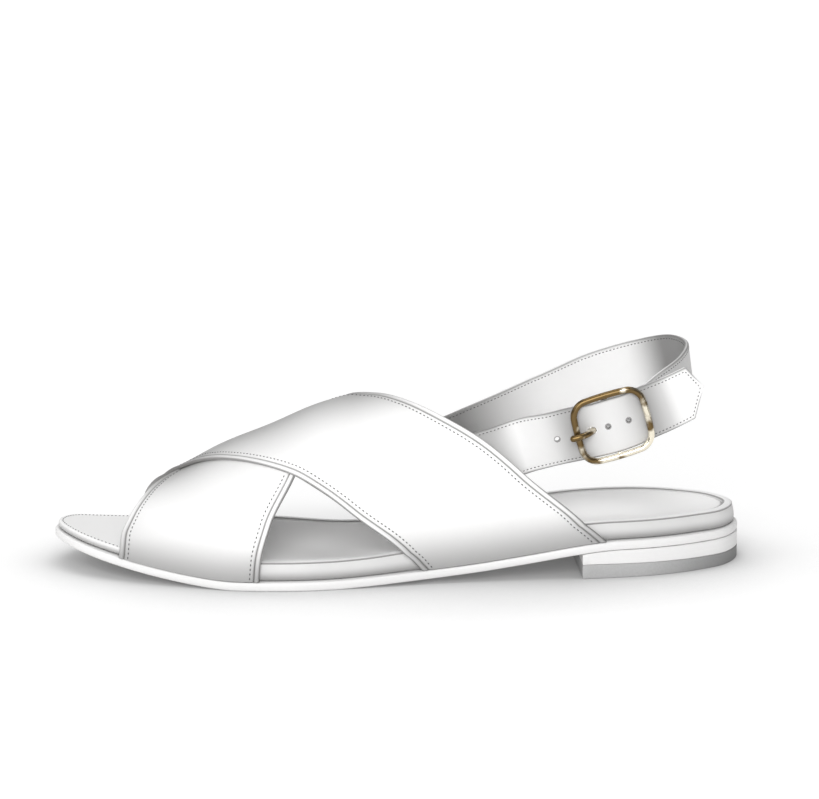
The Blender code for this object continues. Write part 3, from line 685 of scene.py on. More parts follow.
def last_point(x, girth):
    """Points on the last, which is the inside of the straps."""
    x, girth = np.broadcast_arrays(np.asarray(x, float), np.asarray(girth, float))
    station = (x - TOE_X) / SOLE_LENGTH
    low = rim_z(x)
    held = np.clip(girth, 0.0, 1.0)
    power = 2.0 / FULLNESS(station)
    reach = np.cos(np.pi * held)
    side = np.where(reach > 0, OUTER_Y(x) + OUTSOLE_LEDGE - GAP, INNER_Y(x) - OUTSOLE_LEDGE + GAP)
    y = mix(RIDGE_IN(station), side, np.abs(reach) ** power)
    arch = np.maximum(np.sin(np.pi * held), 0.0) ** power
    foot = (low - footbed_base(x)) * np.abs(girth - held) / FOOT_GIRTH
    z = mix(low, RIDGE_HEIGHT(station) * INSTEP_HEIGHT, arch) - foot
    return np.stack([x, y, z], axis=-1)


def last_frame(x, girth):
    """Directions on the last: around the girth, and out of it."""
    along = last_point(x + PROBE_X, girth) - last_point(x - PROBE_X, girth)
    low = np.maximum(girth - PROBE_GIRTH, -FOOT_GIRTH)
    high = np.minimum(girth + PROBE_GIRTH, 1.0 + FOOT_GIRTH)
    around = last_point(x, high) - last_point(x, low)
    return unit(around), unit(np.cross(along, around))


def lifted(x, girth, lift):
    return last_point(x, girth) + last_frame(x, girth)[1] * np.asarray(lift)[..., None]


UNDER_FRONT = column(UNDER_EDGES, "girth", "front")
UNDER_REAR = column(UNDER_EDGES, "girth", "rear")
OVER_FRONT = column(OVER_EDGES, "girth", "front")
OVER_REAR = column(OVER_EDGES, "girth", "rear")


def flat_lifts(x, girth):
    """Heights of the lower strap's two faces off the last."""
    return np.zeros_like(x), np.full_like(x, UPPER_WALL)


def over_lifts(x, girth):
    """Heights of the upper strap's two faces, where it climbs over the lower one."""
    before = station_x(UNDER_FRONT(girth)) - x
    behind = x - station_x(UNDER_REAR(girth))
    clear = np.maximum(np.maximum(before, behind), 0.0)
    inside = (UPPER_WALL + OVER_CLEARANCE) * (1.0 - ease(clear, 0.0, UNDER_FALL))
    outside = UPPER_WALL + OVER_LIFT * (1.0 - ease(clear, 0.0, OVER_FALL))
    return np.minimum(inside, outside - OVER_LEAST_WALL), outside


def below_over(x, girth):
    """Whether a place lies under the upper strap."""
    front = station_x(OVER_FRONT(girth)) - OVER_MARGIN
    rear = station_x(OVER_REAR(girth)) + OVER_MARGIN
    return (x > front) & (x < rear)


def uncovered(x, girth):
    """Nowhere: nothing lies on the upper strap."""
    return np.zeros(len(x), bool)


VampStrap = namedtuple("VampStrap", "name front rear lifts hidden")
VAMP_STRAPS = (
    VampStrap("vamp_under", UNDER_FRONT, UNDER_REAR, flat_lifts, below_over),
    VampStrap("vamp_over", OVER_FRONT, OVER_REAR, over_lifts, uncovered),
)


# Making pieces

def let_go():
    """Leave edit mode and select nothing."""
    if bpy.context.mode != "OBJECT":
        bpy.ops.object.mode_set(mode="OBJECT")
    bpy.ops.object.select_all(action="DESELECT")


def take(piece):
    let_go()
    piece.select_set(True)
    bpy.context.view_layer.objects.active = piece


def placing(x_way, y_way, z_way, place):
    """A matrix that lays the three axes along the given ways, at a place in metres."""
    turn = Matrix(np.column_stack([x_way, y_way, z_way]).tolist()).to_4x4()
    turn.translation = place
    return turn


def laid_grid(name, places):
    """A grid of vertices, one for each place in rows and columns, laid on those places."""
    let_go()
    rows, columns = places.shape[:2]
    bpy.ops.mesh.primitive_grid_add(x_subdivisions=columns - 1, y_subdivisions=rows - 1, size=MM)
    piece = bpy.context.object
    piece.name = name
    piece.data.name = name
    piece.data.vertices.foreach_set("co", (places * MM).ravel())
    return piece


def lapped(rows, closed_path):
    """Rows with their first column again at the end, and the first row too where the path closes."""
    rows = np.concatenate([rows, rows[:, :1]], axis=1)
    return np.concatenate([rows, rows[:1]], axis=0) if closed_path else rows


def skin(name, sections, notes, closed_path=False):
    """A grid laid through closed sections; its finish reads the notes kept for each of its points."""
    sections = np.asarray(sections)
    piece = laid_grid(name, lapped(sections, closed_path))
    for label, values in (notes or {}).items():
        values = lapped(np.broadcast_to(values, sections.shape[:2]), closed_path)
        layer = piece.data.attributes.new(label, "FLOAT", "POINT")
        layer.data.foreach_set("value", values.ravel().astype(np.float32))
    return piece


def close_ends(piece, size, rows, has_tips):
    """Close the first and last ring straight across from side to side; one with tips starts on a tip."""
    last = size if has_tips else size - 1
    pairs = [(k, (last - k) % size) for k in range(size // 2 + 1)]
    shape = bmesh.new()
    shape.from_mesh(piece.data)
    shape.verts.ensure_lookup_table()
    for start in (0, (size + 1) * (rows - 1)):
        for (a, b), (c, d) in zip(pairs, pairs[1:]):
            corners = list(dict.fromkeys([a, c, d, b]))
            if len(corners) > 2:
                shape.faces.new([shape.verts[start + i] for i in corners])
    shape.to_mesh(piece.data)
    shape.free()


def weld(piece, fill=False):
    """Merge the seam, close open ends, turn the faces outwards and smooth them."""
    take(piece)
    bpy.ops.object.mode_set(mode="EDIT")
    bpy.ops.mesh.select_all(action="SELECT")
    bpy.ops.mesh.remove_doubles(threshold=WELD_DISTANCE * MM)
    if fill:
        bpy.ops.mesh.fill_holes(sides=0)
    bpy.ops.mesh.select_all(action="SELECT")
    bpy.ops.mesh.normals_make_consistent(inside=False)
    bpy.ops.object.mode_set(mode="OBJECT")
    bpy.ops.object.shade_smooth_by_angle(angle=SMOOTH_ANGLE)
    return piece


def sleeve(name, sections, notes=None, closed_path=False):
    """A closed skin through sections that follow a path."""
    return weld(skin(name, sections, notes, closed_path), fill=not closed_path)


def ring_stack(name, rings, notes=None, has_tips=True):
    """A closed skin through a stack of rings, with a note for each ring."""
    rings = np.asarray(rings)
    columns = {label: np.reshape(values, (-1, 1)) for label, values in (notes or {}).items()}
    piece = skin(name, rings, columns)
    close_ends(piece, rings.shape[1], len(rings), has_tips)
    return weld(piece)


def wire(name, path, radii, across, sides, closed=False):
    """A round wire along a path that stays square to the way across."""
    if closed:
        forward = unit(np.roll(path, -1, axis=0) - np.roll(path, 1, axis=0))
    else:
        forward = unit(np.gradient(path, axis=0))
    angles = np.linspace(0.0, 2 * math.pi, sides, endpoint=False)[None, :, None]
    circle = np.cross(across, forward)[:, None] * np.cos(angles) + across * np.sin(angles)
    radii = np.broadcast_to(radii, len(path))[:, None, None]
    return sleeve(name, path[:, None] + circle * radii, closed_path=closed)


def cut(piece, cutter):
    """Cut a helper shape out of a piece and remove the helper."""
    take(piece)
    change = piece.modifiers.new("cut", "BOOLEAN")
    change.operation = "DIFFERENCE"
    change.solver = "EXACT"
    change.object = cutter
    bpy.ops.object.modifier_apply(modifier=change.name)
    bpy.data.objects.remove(cutter)


def dress(piece, finish, slot, *nodes):
    """Give a piece its finish, its body and the solids that it stands for."""
    piece.data.materials.clear()
    piece.data.materials.append(finish)
    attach(piece, "root")
    if nodes:
        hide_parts(*nodes)
    return piece


# Finishes

class Value:
    """A number in a finish: arithmetic on it adds Math nodes."""

    def __init__(self, finish, socket):
        self.finish = finish
        self.socket = socket

    def maths(self, operation, first, second):
        return self.finish.node("ShaderNodeMath", {"operation": operation}, {0: first, 1: second})[0]

    def __add__(self, other):
        return self.maths("ADD", self, other)

    def __sub__(self, other):
        return self.maths("SUBTRACT", self, other)

    def __mul__(self, other):
        return self.maths("MULTIPLY", self, other)

    def __pow__(self, other):
        return self.maths("POWER", self, other)

    def __rsub__(self, other):
        return self.maths("SUBTRACT", other, self)

    __radd__ = __add__
    __rmul__ = __mul__

    def sway(self, amount):
        """A noise about its middle, from minus half an amount to half of it."""
        return (self - 0.5) * amount

    def above(self, start, end):
        """0 below start, 1 above end and a soft step between them."""
        settings = {"interpolation_type": "SMOOTHSTEP"}
        inputs = {0: self, 1: start, 2: end, 3: 0.0, 4: 1.0}
        return self.finish.node("ShaderNodeMapRange", settings, inputs)[0]


class Made:
    """A node in a finish; an index or a name gives one of its outputs."""

    def __init__(self, finish, made):
        self.finish = finish
        self.made = made

    def __getitem__(self, key):
        return Value(self.finish, self.made.outputs[key])


class Finish:
    """A material on a Principled shader."""

    def __init__(self, name, constants):
        self.material = bpy.data.materials.new(name)
        self.material.use_nodes = True
        self.tree = self.material.node_tree
        self.shader = self.tree.nodes["Principled BSDF"]
        for key, value in constants.items():
            self.shader.inputs[key].default_value = value
        self.place = self.node("ShaderNodeTexCoord")["Object"]

    def node(self, kind, settings=None, inputs=None):
        made = self.tree.nodes.new(kind)
        for key, value in (settings or {}).items():
            setattr(made, key, value)
        for key, value in (inputs or {}).items():
            self.join(value, made.inputs[key])
        return Made(self, made)

    def join(self, value, socket):
        if isinstance(value, Value):
            self.tree.links.new(value.socket, socket)
        else:
            socket.default_value = value

    def feed(self, key, value):
        self.join(value, self.shader.inputs[key])

    def vectors(self, operation, *inputs):
        return self.node("ShaderNodeVectorMath", {"operation": operation}, dict(enumerate(inputs)))

    def axis(self, name):
        return self.node("ShaderNodeSeparateXYZ", None, {0: self.place})[name]

    def noise(self, scale, detail=3.0, stretch=None):
        place = self.place
        if stretch:
            place = self.node("ShaderNodeMapping", None, {"Vector": place, "Scale": stretch})[0]
        inputs = {"Vector": place, "Scale": scale, "Detail": detail}
        return self.node("ShaderNodeTexNoise", None, inputs)["Fac"]

    def cells(self, scale):
        inputs = {"Vector": self.place, "Scale": scale, "Smoothness": 0.5}
        return self.node("ShaderNodeTexVoronoi", {"feature": "SMOOTH_F1"}, inputs)["Distance"]

    def noted(self, name):
        return self.node("ShaderNodeAttribute", {"attribute_name": name})["Fac"]

    def blend(self, share, first, second):
        inputs = {0: share, 6: first, 7: second}
        return self.node("ShaderNodeMix", {"data_type": "RGBA"}, inputs)[2]

    def bump(self, height, strength, distance):
        inputs = {"Height": height, "Strength": strength, "Distance": distance * MM}
        self.feed("Normal", self.node("ShaderNodeBump", None, inputs)[0])


def grey(level, warm=0.0):
    return (level * (1 + warm), level, level * (1 - warm), 1.0)


def leather_finish(name, light, dark, rough, holes=()):
    """Smooth coated leather: fine pores, a slow change of tone, painted shade where the foot note asks,
    dark seams and rings round holes.
    """
    painted_shade = grey(0.25, 0.01)
    seam = grey(0.16, 0.02)
    finish = Finish(name, {"Specular IOR Level": 0.42, "Coat Roughness": 0.35, "Coat Weight": 0.06})
    cloud = finish.noise(scale=38.0, detail=2.0)
    pores = finish.cells(scale=1500.0)
    wrinkle = finish.noise(scale=520.0, detail=4.0)
    colour = finish.blend(cloud.sway(0.35) + wrinkle.sway(0.25) + 0.25, light, dark)
    # Painted shade: the foot note blends in dark grey near the sole, on the ridge, at the billet's bends
    # and on the heel strap.
    colour = finish.blend(finish.noted("foot") ** 1.3 * 0.85, colour, painted_shade)
    colour = finish.blend(finish.noted("seam") * 0.85, colour, seam)
    for hole in holes:
        offset = finish.vectors("SUBTRACT", finish.place, hole * MM)[0]
        beside = finish.vectors("CROSS_PRODUCT", offset, BUCKLE_OUT)[0]
        far = finish.vectors("LENGTH", beside)["Value"]
        ring = 1.0 - far.above(HOLE_RING[0] * MM, HOLE_RING[1] * MM)
        colour = finish.blend(ring * 0.8, colour, seam)
    finish.feed("Base Color", colour)
    finish.feed("Roughness", wrinkle.sway(0.18) + cloud.sway(0.1) + rough)
    finish.bump(pores * 0.6 + wrinkle * 0.8, strength=0.16, distance=0.12)
    return finish.material


def sock_finish(name):
    """Matt sock leather with a fine nap and painted shade at its edge."""
    light = grey(0.96, 0.003)
    dark = grey(0.90, 0.006)
    edge = grey(0.22, 0.01)
    finish = Finish(name, {"Specular IOR Level": 0.3, "Sheen Weight": 0.15, "Sheen Roughness": 0.5})
    cloud = finish.noise(scale=30.0)
    nap = finish.noise(scale=1400.0)
    colour = finish.blend(cloud.sway(0.5) + nap * 0.3 + 0.1, light, dark)
    # Painted shade: the edge note darkens the foot of the sock's rounded edge.
    colour = finish.blend(finish.noted("edge") * 0.7, colour, edge)
    finish.feed("Base Color", colour)
    finish.feed("Roughness", nap * 0.15 + 0.52)
    finish.bump(nap + finish.cells(scale=900.0) * 0.5, strength=0.2, distance=0.1)
    return finish.material


def edge_finish(name):
    """Painted sole edge: smooth, with faint lines along it and scuffs on the tread."""
    light = grey(0.86, 0.004)
    dark = grey(0.70, 0.01)
    scuffed = grey(0.42, 0.02)
    finish = Finish(name, {"Specular IOR Level": 0.45})
    lines = finish.noise(scale=260.0, stretch=(0.05, 0.05, 4.0))
    specks = finish.noise(scale=900.0, detail=2.0)
    colour = finish.blend(lines * 0.35 + specks.sway(0.15), light, dark)
    scuffs = finish.noted("tread") * finish.noise(scale=120.0, detail=4.0).above(0.35, 0.75)
    finish.feed("Base Color", finish.blend(scuffs, colour, scuffed))
    finish.feed("Roughness", lines * 0.15 + specks * 0.1 + 0.34)
    finish.bump(lines + specks * 0.4, strength=0.12, distance=0.12)
    return finish.material


def rubber_finish(name):
    """Grey heel rubber with fine specks and painted shade towards the back."""
    finish = Finish(name, {"Specular IOR Level": 0.35})
    specks = finish.noise(scale=1300.0)
    cloud = finish.noise(scale=60.0)
    colour = finish.blend(specks * 0.6 + cloud.sway(0.4), grey(0.52), grey(0.36))
    back_shade = finish.axis("X").above(HEEL_BACK_SHADE[0] * MM, HEEL_BACK_SHADE[1] * MM)
    finish.feed("Base Color", finish.blend(back_shade * 0.75, colour, grey(0.17)))
    finish.feed("Roughness", specks * 0.2 + 0.5)
    finish.bump(specks, strength=0.2, distance=0.1)
    return finish.material


def brass_finish(name):
    """Polished brass with hair scratches, and brown patches that are partly tarnish and partly painted
    shade towards the top and the toe.
    """
    bright = (0.86, 0.80, 0.66, 1.0)
    brown = (0.13, 0.075, 0.015, 1.0)
    centre = BUCKLE_CENTRE * MM
    finish = Finish(name, {"Metallic": 1.0})
    scratch = finish.noise(scale=900.0, stretch=(0.15, 1.0, 1.0))
    # Painted shade: the lean lays the brown towards the top and the toe; the noise breaks it into
    # tarnish patches.
    lean = (finish.axis("Z") - centre[2]) * 9.0 - (finish.axis("X") - centre[0]) * 7.0
    tarnish_and_shade = (finish.noise(scale=130.0) + lean).above(0.40, 0.54)
    finish.feed("Base Color", finish.blend(tarnish_and_shade * 0.95, bright, brown))
    finish.feed("Roughness", scratch * 0.1 + tarnish_and_shade * 0.12 + 0.12)
    finish.bump(scratch, strength=0.05, distance=0.05)
    return finish.material


def thread_finish(name):
    """Dark grey sewing thread with a twist."""
    finish = Finish(name, {"Specular IOR Level": 0.3})
    twist = finish.noise(scale=2600.0, detail=2.0)
    finish.feed("Base Color", finish.blend(twist, grey(0.07), grey(0.14)))
    finish.feed("Roughness", twist * 0.2 + 0.55)
    finish.bump(twist, strength=0.3, distance=0.05)
    return finish.material


def white_finish(name, holes=()):
    """The white leather of the straps."""
    return leather_finish(name, grey(0.95, 0.003), grey(0.85, 0.006), 0.40, holes)


WHITE = white_finish("white_leather")
SIDE = leather_finish("footbed_wrap", grey(0.72, 0.004), grey(0.62, 0.008), 0.46)
RIM = leather_finish("rim_leather", grey(0.96, 0.002), grey(0.90, 0.004), 0.42)
SOCK = sock_finish("sock_leather")
EDGE = edge_finish("sole_edge")
RUBBER = rubber_finish("heel_rubber")
BRASS = brass_finish("brass")
THREAD = thread_finish("grey_thread")


# Stitches

def stitch_shape(size):
    """One stitch: a bead of thread whose ends dip into the leather."""
    let_go()
    bpy.ops.mesh.primitive_uv_sphere_add(segments=8, ring_count=6, radius=0.5 * MM)
    stitch = bpy.context.object
    bpy.ops.object.mode_set(mode="EDIT")
    bpy.ops.mesh.select_all(action="SELECT")
    bpy.ops.transform.rotate(value=math.pi / 2, orient_axis="Y", center_override=(0.0, 0.0, 0.0))
    bpy.ops.transform.resize(value=(size.length, size.width, size.height))
    bpy.ops.object.mode_set(mode="OBJECT")
    for vertex in stitch.data.vertices:
        reach = vertex.co.x / (size.length * MM / 2)
        vertex.co.z -= STITCH_DIP * size.height * MM * reach * reach
    bpy.ops.object.shade_smooth()
    return stitch


def spaced(places, outs, pitch):
    """Places a pitch apart along a line, with the directions along it and out of the leather."""
    runs = runs_along(places)

    def read(at, values):
        return np.column_stack([np.interp(at, runs, values[:, k]) for k in range(3)])

    count = max(int(runs[-1] / pitch), 1)
    at = (np.arange(count) + 0.5) * runs[-1] / count
    step = STITCH_PROBE * pitch
    along = read(at + step, places) - read(at - step, places)
    return read(at, places), unit(along), unit(read(at, outs))


def sew(name, lines, size, slot):
    """Rows of stitches as one piece, along lines of places and ways out of the leather."""
    stitch = stitch_shape(size)
    copies = []
    for places, outs in lines:
        for spot, along, out in zip(*spaced(places, outs, size.pitch)):
            side = unit(np.cross(out, along))
            copy = stitch.copy()
            copy.data = stitch.data.copy()
            copy.data.transform(placing(along, side, np.cross(along, side), spot * MM))
            bpy.context.scene.collection.objects.link(copy)
            copies.append(copy)
    bpy.data.objects.remove(stitch)
    let_go()
    for copy in copies:
        copy.select_set(True)
    bpy.context.view_layer.objects.active = copies[0]
    bpy.ops.object.join()
    row = bpy.context.object
    row.name = name
    row.data.name = name
    dress(row, THREAD, slot)


# Sole pieces

def make_outsole():
    """The outsole, with a rounded edge and a scuffed tread."""
    ring = sole_ring()
    drawn_in = inset(ring, OUTSOLE_ROUND)
    rings = face_rings(drawn_in, OUTSOLE_UNDER, lambda x, share: ground_z(x))
    tread = list(TREAD_SCUFFS)
    for angle in np.linspace(-90.0, 90.0, OUTSOLE_EDGE_STEPS):
        turn = math.radians(angle)
        plan = inset(ring, OUTSOLE_ROUND * (1.0 - math.cos(turn) ** OUTSOLE_ROUND_POWER))
        height = OUTSOLE_THICK / 2 * (1.0 + math.sin(turn))
        rings.append(raised(plan, ground_z(plan[:, 0]) + height))
        tread.append(EDGE_SCUFF if angle < EDGE_SCUFF_TURN else 0.0)
    rings += face_rings(drawn_in, OUTSOLE_OVER, lambda x, share: outsole_top(x))
    tread += [0.0] * len(OUTSOLE_OVER)
    dress(ring_stack("outsole_edge", rings, {"tread": tread}), EDGE, "outsole", "outsole")


def make_footbed():
    """The wrapped board, with painted shade towards its foot."""
    ring = footbed_ring()
    toe = 1.0 - behind_toe(ring[:, 0])
    rings = face_rings(inset(ring, FOOTBED_UNDERCUT), FOOTBED_UNDER, lambda x, share: footbed_base(x))
    # Painted shade: the foot note is full under the board and fades up its side.
    low = [1.0] * len(FOOTBED_UNDER)
    for level in FOOTBED_SIDE:
        plan = inset(ring, level.inset + FOOTBED_TOE_INSET * toe)
        rings.append(raised(plan, mix(footbed_base(plan[:, 0]), rim_z(plan[:, 0]), level.height)))
        low.append(1.0 - float(ease(level.height, 0.0, FOOTBED_SHADE_HEIGHT)))
    recess = inset(ring, rim_width(ring[:, 0]) + RECESS_INSET)
    rings += face_rings(recess, FOOTBED_OVER, lambda x, share: seat_z(x, share) - RECESS_DROP)
    low += [0.0] * len(FOOTBED_OVER)
    notes = {"foot": low, "seam": np.zeros(len(low))}
    dress(ring_stack("footbed_side", rings, notes), SIDE, "footbed", "footbed")


def make_rim():
    """The white band round the top of the footbed, gently domed, with a dark line on both edges."""
    ring = footbed_ring()
    full = behind_toe(ring[:, 0])
    outer = mix(RIM_TOE_INSET, RIM_INSET, full)
    inner = np.maximum(rim_width(ring[:, 0]) - RIM_CLEARANCE, outer + RIM_LEAST_WIDTH)
    rings = []
    for level in RIM_PROFILE:
        plan = inset(ring, mix(outer, inner, level.across))
        rings.append(raised(plan, rim_z(plan[:, 0]) + level.height * np.maximum(full, RIM_TOE_RISE)))
    notes = {"seam": [[level.seam] for level in RIM_PROFILE], "foot": 0.0}
    dress(sleeve("footbed_rim", rings, notes, closed_path=True), RIM, "footbed", "footbed")


def make_sock():
    """The sock, with a rounded edge that has painted shade at its foot."""
    plan = sock_ring()
    under = inset(plan, SOCK_UNDERCUT)
    rings = face_rings(under, SOCK_UNDER, lambda x, share: seat_z(x, share) + GAP)
    edge = [1.0] * len(SOCK_UNDER)
    for angle in np.linspace(*SOCK_EDGE_TURN, SOCK_EDGE_STEPS):
        turn = math.radians(angle)
        ring = inset(plan, SOCK_ROUND * (1.0 - math.cos(turn)))
        x = ring[:, 0]
        low = mix(footbed_base(x) + SOCK_TOE_FOOT, seat_z(x, 1.0) + GAP, behind_toe(x))
        rings.append(raised(ring, mix(low, sock_z(x, 1.0), (1.0 + math.sin(turn)) / 2)))
        edge.append(1.0 - float(ease(angle, *SOCK_EDGE_SHADE)))
    rings += face_rings(inset(plan, SOCK_ROUND), SOCK_OVER, sock_z)
    edge += [0.0] * len(SOCK_OVER)
    dress(ring_stack("sock", rings, {"edge": edge}), SOCK, "insole", "insole")


def make_sock_stitches():
    """The row of stitches round the toe, up to the straps."""
    line = inset(sock_ring(), SOCK_STITCH_INSET)
    places = raised(line, sock_z(line[:, 0], 1.0) + SOCK_STITCH_RISE)
    front = np.roll(places, len(places) // 2, axis=0)
    front = front[front[:, 0] < station_x(SOCK_STITCH_END)]
    sew("sock_stitches", [(front, np.tile(UP, (len(front), 1)))], VAMP_STITCH, "insole")


def make_heel():
    """The heel's white layers, and the rubber under them."""
    ring = heel_ring()
    split = heel_split(ring[:, 0])
    rings = edge_rings(ring, STACK_FOOT, split) + edge_rings(ring, STACK_TOP, ground_z(ring[:, 0]))
    stack = ring_stack("heel_stack", rings, {"tread": np.zeros(len(rings))}, has_tips=False)
    dress(stack, EDGE, "heel_block", "heel_block")
    rings = edge_rings(ring, RUBBER_FOOT, 0.0) + edge_rings(ring, RUBBER_TOP, split)
    rubber = ring_stack("heel_rubber_piece", rings, has_tips=False)
    dress(rubber, RUBBER, "heel_top_piece", "heel_top_piece")


# Vamp straps

def edge_slant(edge, girth):
    """How much longer a step along X is than the same step square to a strap's edge."""
    ahead = girth + SLANT_STEP
    behind = girth - SLANT_STEP
    along = last_point(station_x(edge(ahead)), ahead) - last_point(station_x(edge(behind)), behind)
    x = station_x(edge(girth))
    level = last_point(x + PROBE_X, girth) - last_point(x - PROBE_X, girth)
    square = np.linalg.norm(np.cross(unit(level), unit(along)), axis=-1)
    return 1.0 / np.maximum(square, SLANT_LEAST)


def rib_lines(edge, way, girth, ribs):
    """Lines beside a strap's edge: place along X, height of the face and share of the seam."""
    start = station_x(edge(girth))
    slant = way * edge_slant(edge, girth)
    return [(start + rib.inset * slant, rib.height, rib.seam) for rib in ribs]


def field_lines(first, last, count, height):
    """Lines spaced evenly between two others, with no seam."""
    shares = np.linspace(0.0, 1.0, count + 2)[1:-1]
    return [(mix(first[0], last[0], share), height, 0.0) for share in shares]


def make_vamp_strap(strap):
    """A vamp strap: its face between two rolled edges, and its lining."""
    girth = np.linspace(-FOOT_GIRTH, 1.0 + FOOT_GIRTH, STRAP_ROWS)
    front = rib_lines(strap.front, 1.0, girth, EDGE_RIBS)
    rear = rib_lines(strap.rear, -1.0, girth, EDGE_RIBS)
    front_lining = rib_lines(strap.front, 1.0, girth, LINING_RIBS)
    rear_lining = rib_lines(strap.rear, -1.0, girth, LINING_RIBS)
    lines = front + field_lines(front[-1], rear[-1], STRAP_FIELD, UPPER_WALL) + rear[::-1]
    lines += rear_lining + field_lines(rear_lining[-1], front_lining[-1], STRAP_LINING, 0.0)
    lines += front_lining[::-1]
    # Painted shade: a band about the ridge, and darker near the sole
    spread = np.where(girth < RIDGE_GIRTH, *RIDGE_SPREAD)
    ridge = RIDGE_PAINTED_SHADE * np.exp(-((girth - RIDGE_GIRTH) / spread) ** 2)
    columns = []
    painted_shade = []
    for x, height, seam in lines:
        low, high = strap.lifts(x, girth)
        places = lifted(x, girth, mix(low, high, height / UPPER_WALL))
        columns.append(places)
        foot = 1.0 - ease(places[:, 2] - outsole_top(x), *PAINTED_SHADE_RISE)
        painted_shade.append(np.maximum(foot, ridge))
    notes = {"seam": [seam for x, height, seam in lines], "foot": np.stack(painted_shade, axis=1)}
    dress(sleeve(strap.name, np.stack(columns, axis=1), notes), WHITE, "upper", "upper")


def make_vamp_stitches(strap):
    """The row of stitches inside each rolled edge of a vamp strap, where it isn't hidden."""
    girth = np.linspace(-FOOT_GIRTH + VAMP_STITCH_END, 1.0 + FOOT_GIRTH - VAMP_STITCH_END,
                        VAMP_STITCH_STATIONS)
    lines = []
    for edge, way in ((strap.front, 1.0), (strap.rear, -1.0)):
        x = station_x(edge(girth)) + way * VAMP_STITCH_INSET * edge_slant(edge, girth)
        face = strap.lifts(x, girth)[1]
        places = lifted(x, girth, face - VAMP_STITCH_SINK)
        outs = last_frame(x, girth)[1]
        shown = ~strap.hidden(x, girth)
        for run in np.split(np.arange(len(x)), np.flatnonzero(np.diff(shown)) + 1):
            if shown[run[0]] and len(run) > 2:
                lines.append((places[run], outs[run]))
    sew(strap.name + "_stitches", lines, VAMP_STITCH, "upper")


# Sling straps

Row = namedtuple("Row", "place upward width bow")
Band = namedtuple("Band", "places across out half bow left tips")


def buckle_point(along, across, out):
    """A place by the buckle: along the strap, across it and out from the centre bar."""
    return BUCKLE_CENTRE + BUCKLE_LONG * along + BUCKLE_TALL * across + BUCKLE_OUT * out


def anchor_row(anchor):
    """A strap end that lies against the inside of a vamp strap, hollowed to its curve."""
    x = float(station_x(anchor.station))
    around, out = last_frame(x, anchor.girth)
    upward = mix(UP, around * math.copysign(1.0, around[2]), anchor.lean)
    middle = last_point(x, anchor.girth)
    stride = last_point(x, anchor.girth + PROBE_GIRTH) - last_point(x, anchor.girth - PROBE_GIRTH)
    reach = anchor.width * PROBE_GIRTH / np.linalg.norm(stride)
    chord = (last_point(x, anchor.girth - reach) + last_point(x, anchor.girth + reach)) / 2
    bow = float(np.dot(middle - chord, out)) * anchor.lean
    place = middle - out * (ANCHOR_GAP + SLING_WALL / 2 - anchor.shift)
    return Row(place, upward, anchor.width, bow)


def loop_row(loop):
    """A place on the heel strap, which leans in over the heel."""
    inward = unit(np.array([HEEL_LOOP_MIDDLE[0] - loop.x, HEEL_LOOP_MIDDLE[1] - loop.y, 0.0]))
    lean = math.radians(loop.lean)
    upward = UP * math.cos(lean) + inward * math.sin(lean)
    return Row(np.array([loop.x, loop.y, loop.z]), upward, loop.width, 0.0)


def fold_rows():
    """The heel strap's end: a flap, a turn round the buckle's centre bar and the way back out."""
    lies = list(FOLD_FLAP)
    for turn in np.linspace(-math.pi / 2, -3 * math.pi / 2, FOLD_STEPS):
        lies.append((FOLD_RADIUS * math.cos(turn), FOLD_RADIUS * math.sin(turn)))
    lies += list(FOLD_WAY_OUT)
    return [Row(buckle_point(along, 0.0, out), BUCKLE_TALL, FOLD_WIDTH, 0.0) for along, out in lies]


def billet_row(billet):
    place = buckle_point(billet.along, billet.across, billet.out)
    return Row(place, BUCKLE_TALL, billet.width, 0.0)


def band_path(rows, tips=None):
    """Places and directions along a flat strap, which may end in a tip."""
    table = [np.concatenate([row.place, row.upward, [row.width, row.bow]]) for row in rows]
    path = through(table, BAND_SPACING)
    places = path[:, :3]
    forward = unit(np.gradient(places, axis=0))
    across = unit(path[:, 3:6] - forward * np.sum(path[:, 3:6] * forward, axis=1, keepdims=True))
    left = runs_along(places[::-1])[::-1]
    return Band(places, across, np.cross(forward, across), path[:, 6] / 2, path[:, 7], left, tips)


def edge_line(band, edge, distance):
    """Half width of the line that runs a distance inside a strap's lower or upper edge."""
    line = band.half - distance
    if not band.tips:
        return line
    slope = band.half / band.tips[edge]
    return np.minimum(line, slope * band.left - distance * np.sqrt(1.0 + slope ** 2))


def edge_rib(band, edge, distance):
    """Half width of a rib of the turned edge, drawn together at the end of a tip."""
    reach = np.maximum(edge_line(band, edge, 0.0), TIP_BLUNT * band.half)
    return np.maximum(edge_line(band, edge, distance), reach * (1.0 - distance / TIP_DEPTH))


def on_band(band, side, rise):
    """Places on a strap: to one side of its middle, and off its middle layer."""
    drop = band.bow * (side / band.half) ** 2
    return band.places + band.across * side[:, None] + band.out * (rise - drop)[:, None]


def band_skin(name, band, outside, inside):
    """A strap's skin, with painted shade along its outer and its inner face."""
    lower = [(-edge_rib(band, 0, rib.inset), rib.height, rib.seam) for rib in BAND_RIBS]
    upper = [(edge_rib(band, 1, rib.inset), rib.height, rib.seam) for rib in BAND_RIBS]
    face = lower + field_lines(lower[-1], upper[-1], BAND_FIELD, 1.0) + upper[::-1]
    back = [(side, -height, seam) for side, height, seam in face[-2:0:-1]]
    lines = face + back
    columns = [on_band(band, side, height * SLING_WALL / 2) for side, height, seam in lines]
    painted_shade = np.stack([outside] * len(face) + [inside] * len(back), axis=1)
    notes = {"seam": [seam for side, height, seam in lines], "foot": painted_shade}
    return sleeve(name, np.stack(columns, axis=1), notes)


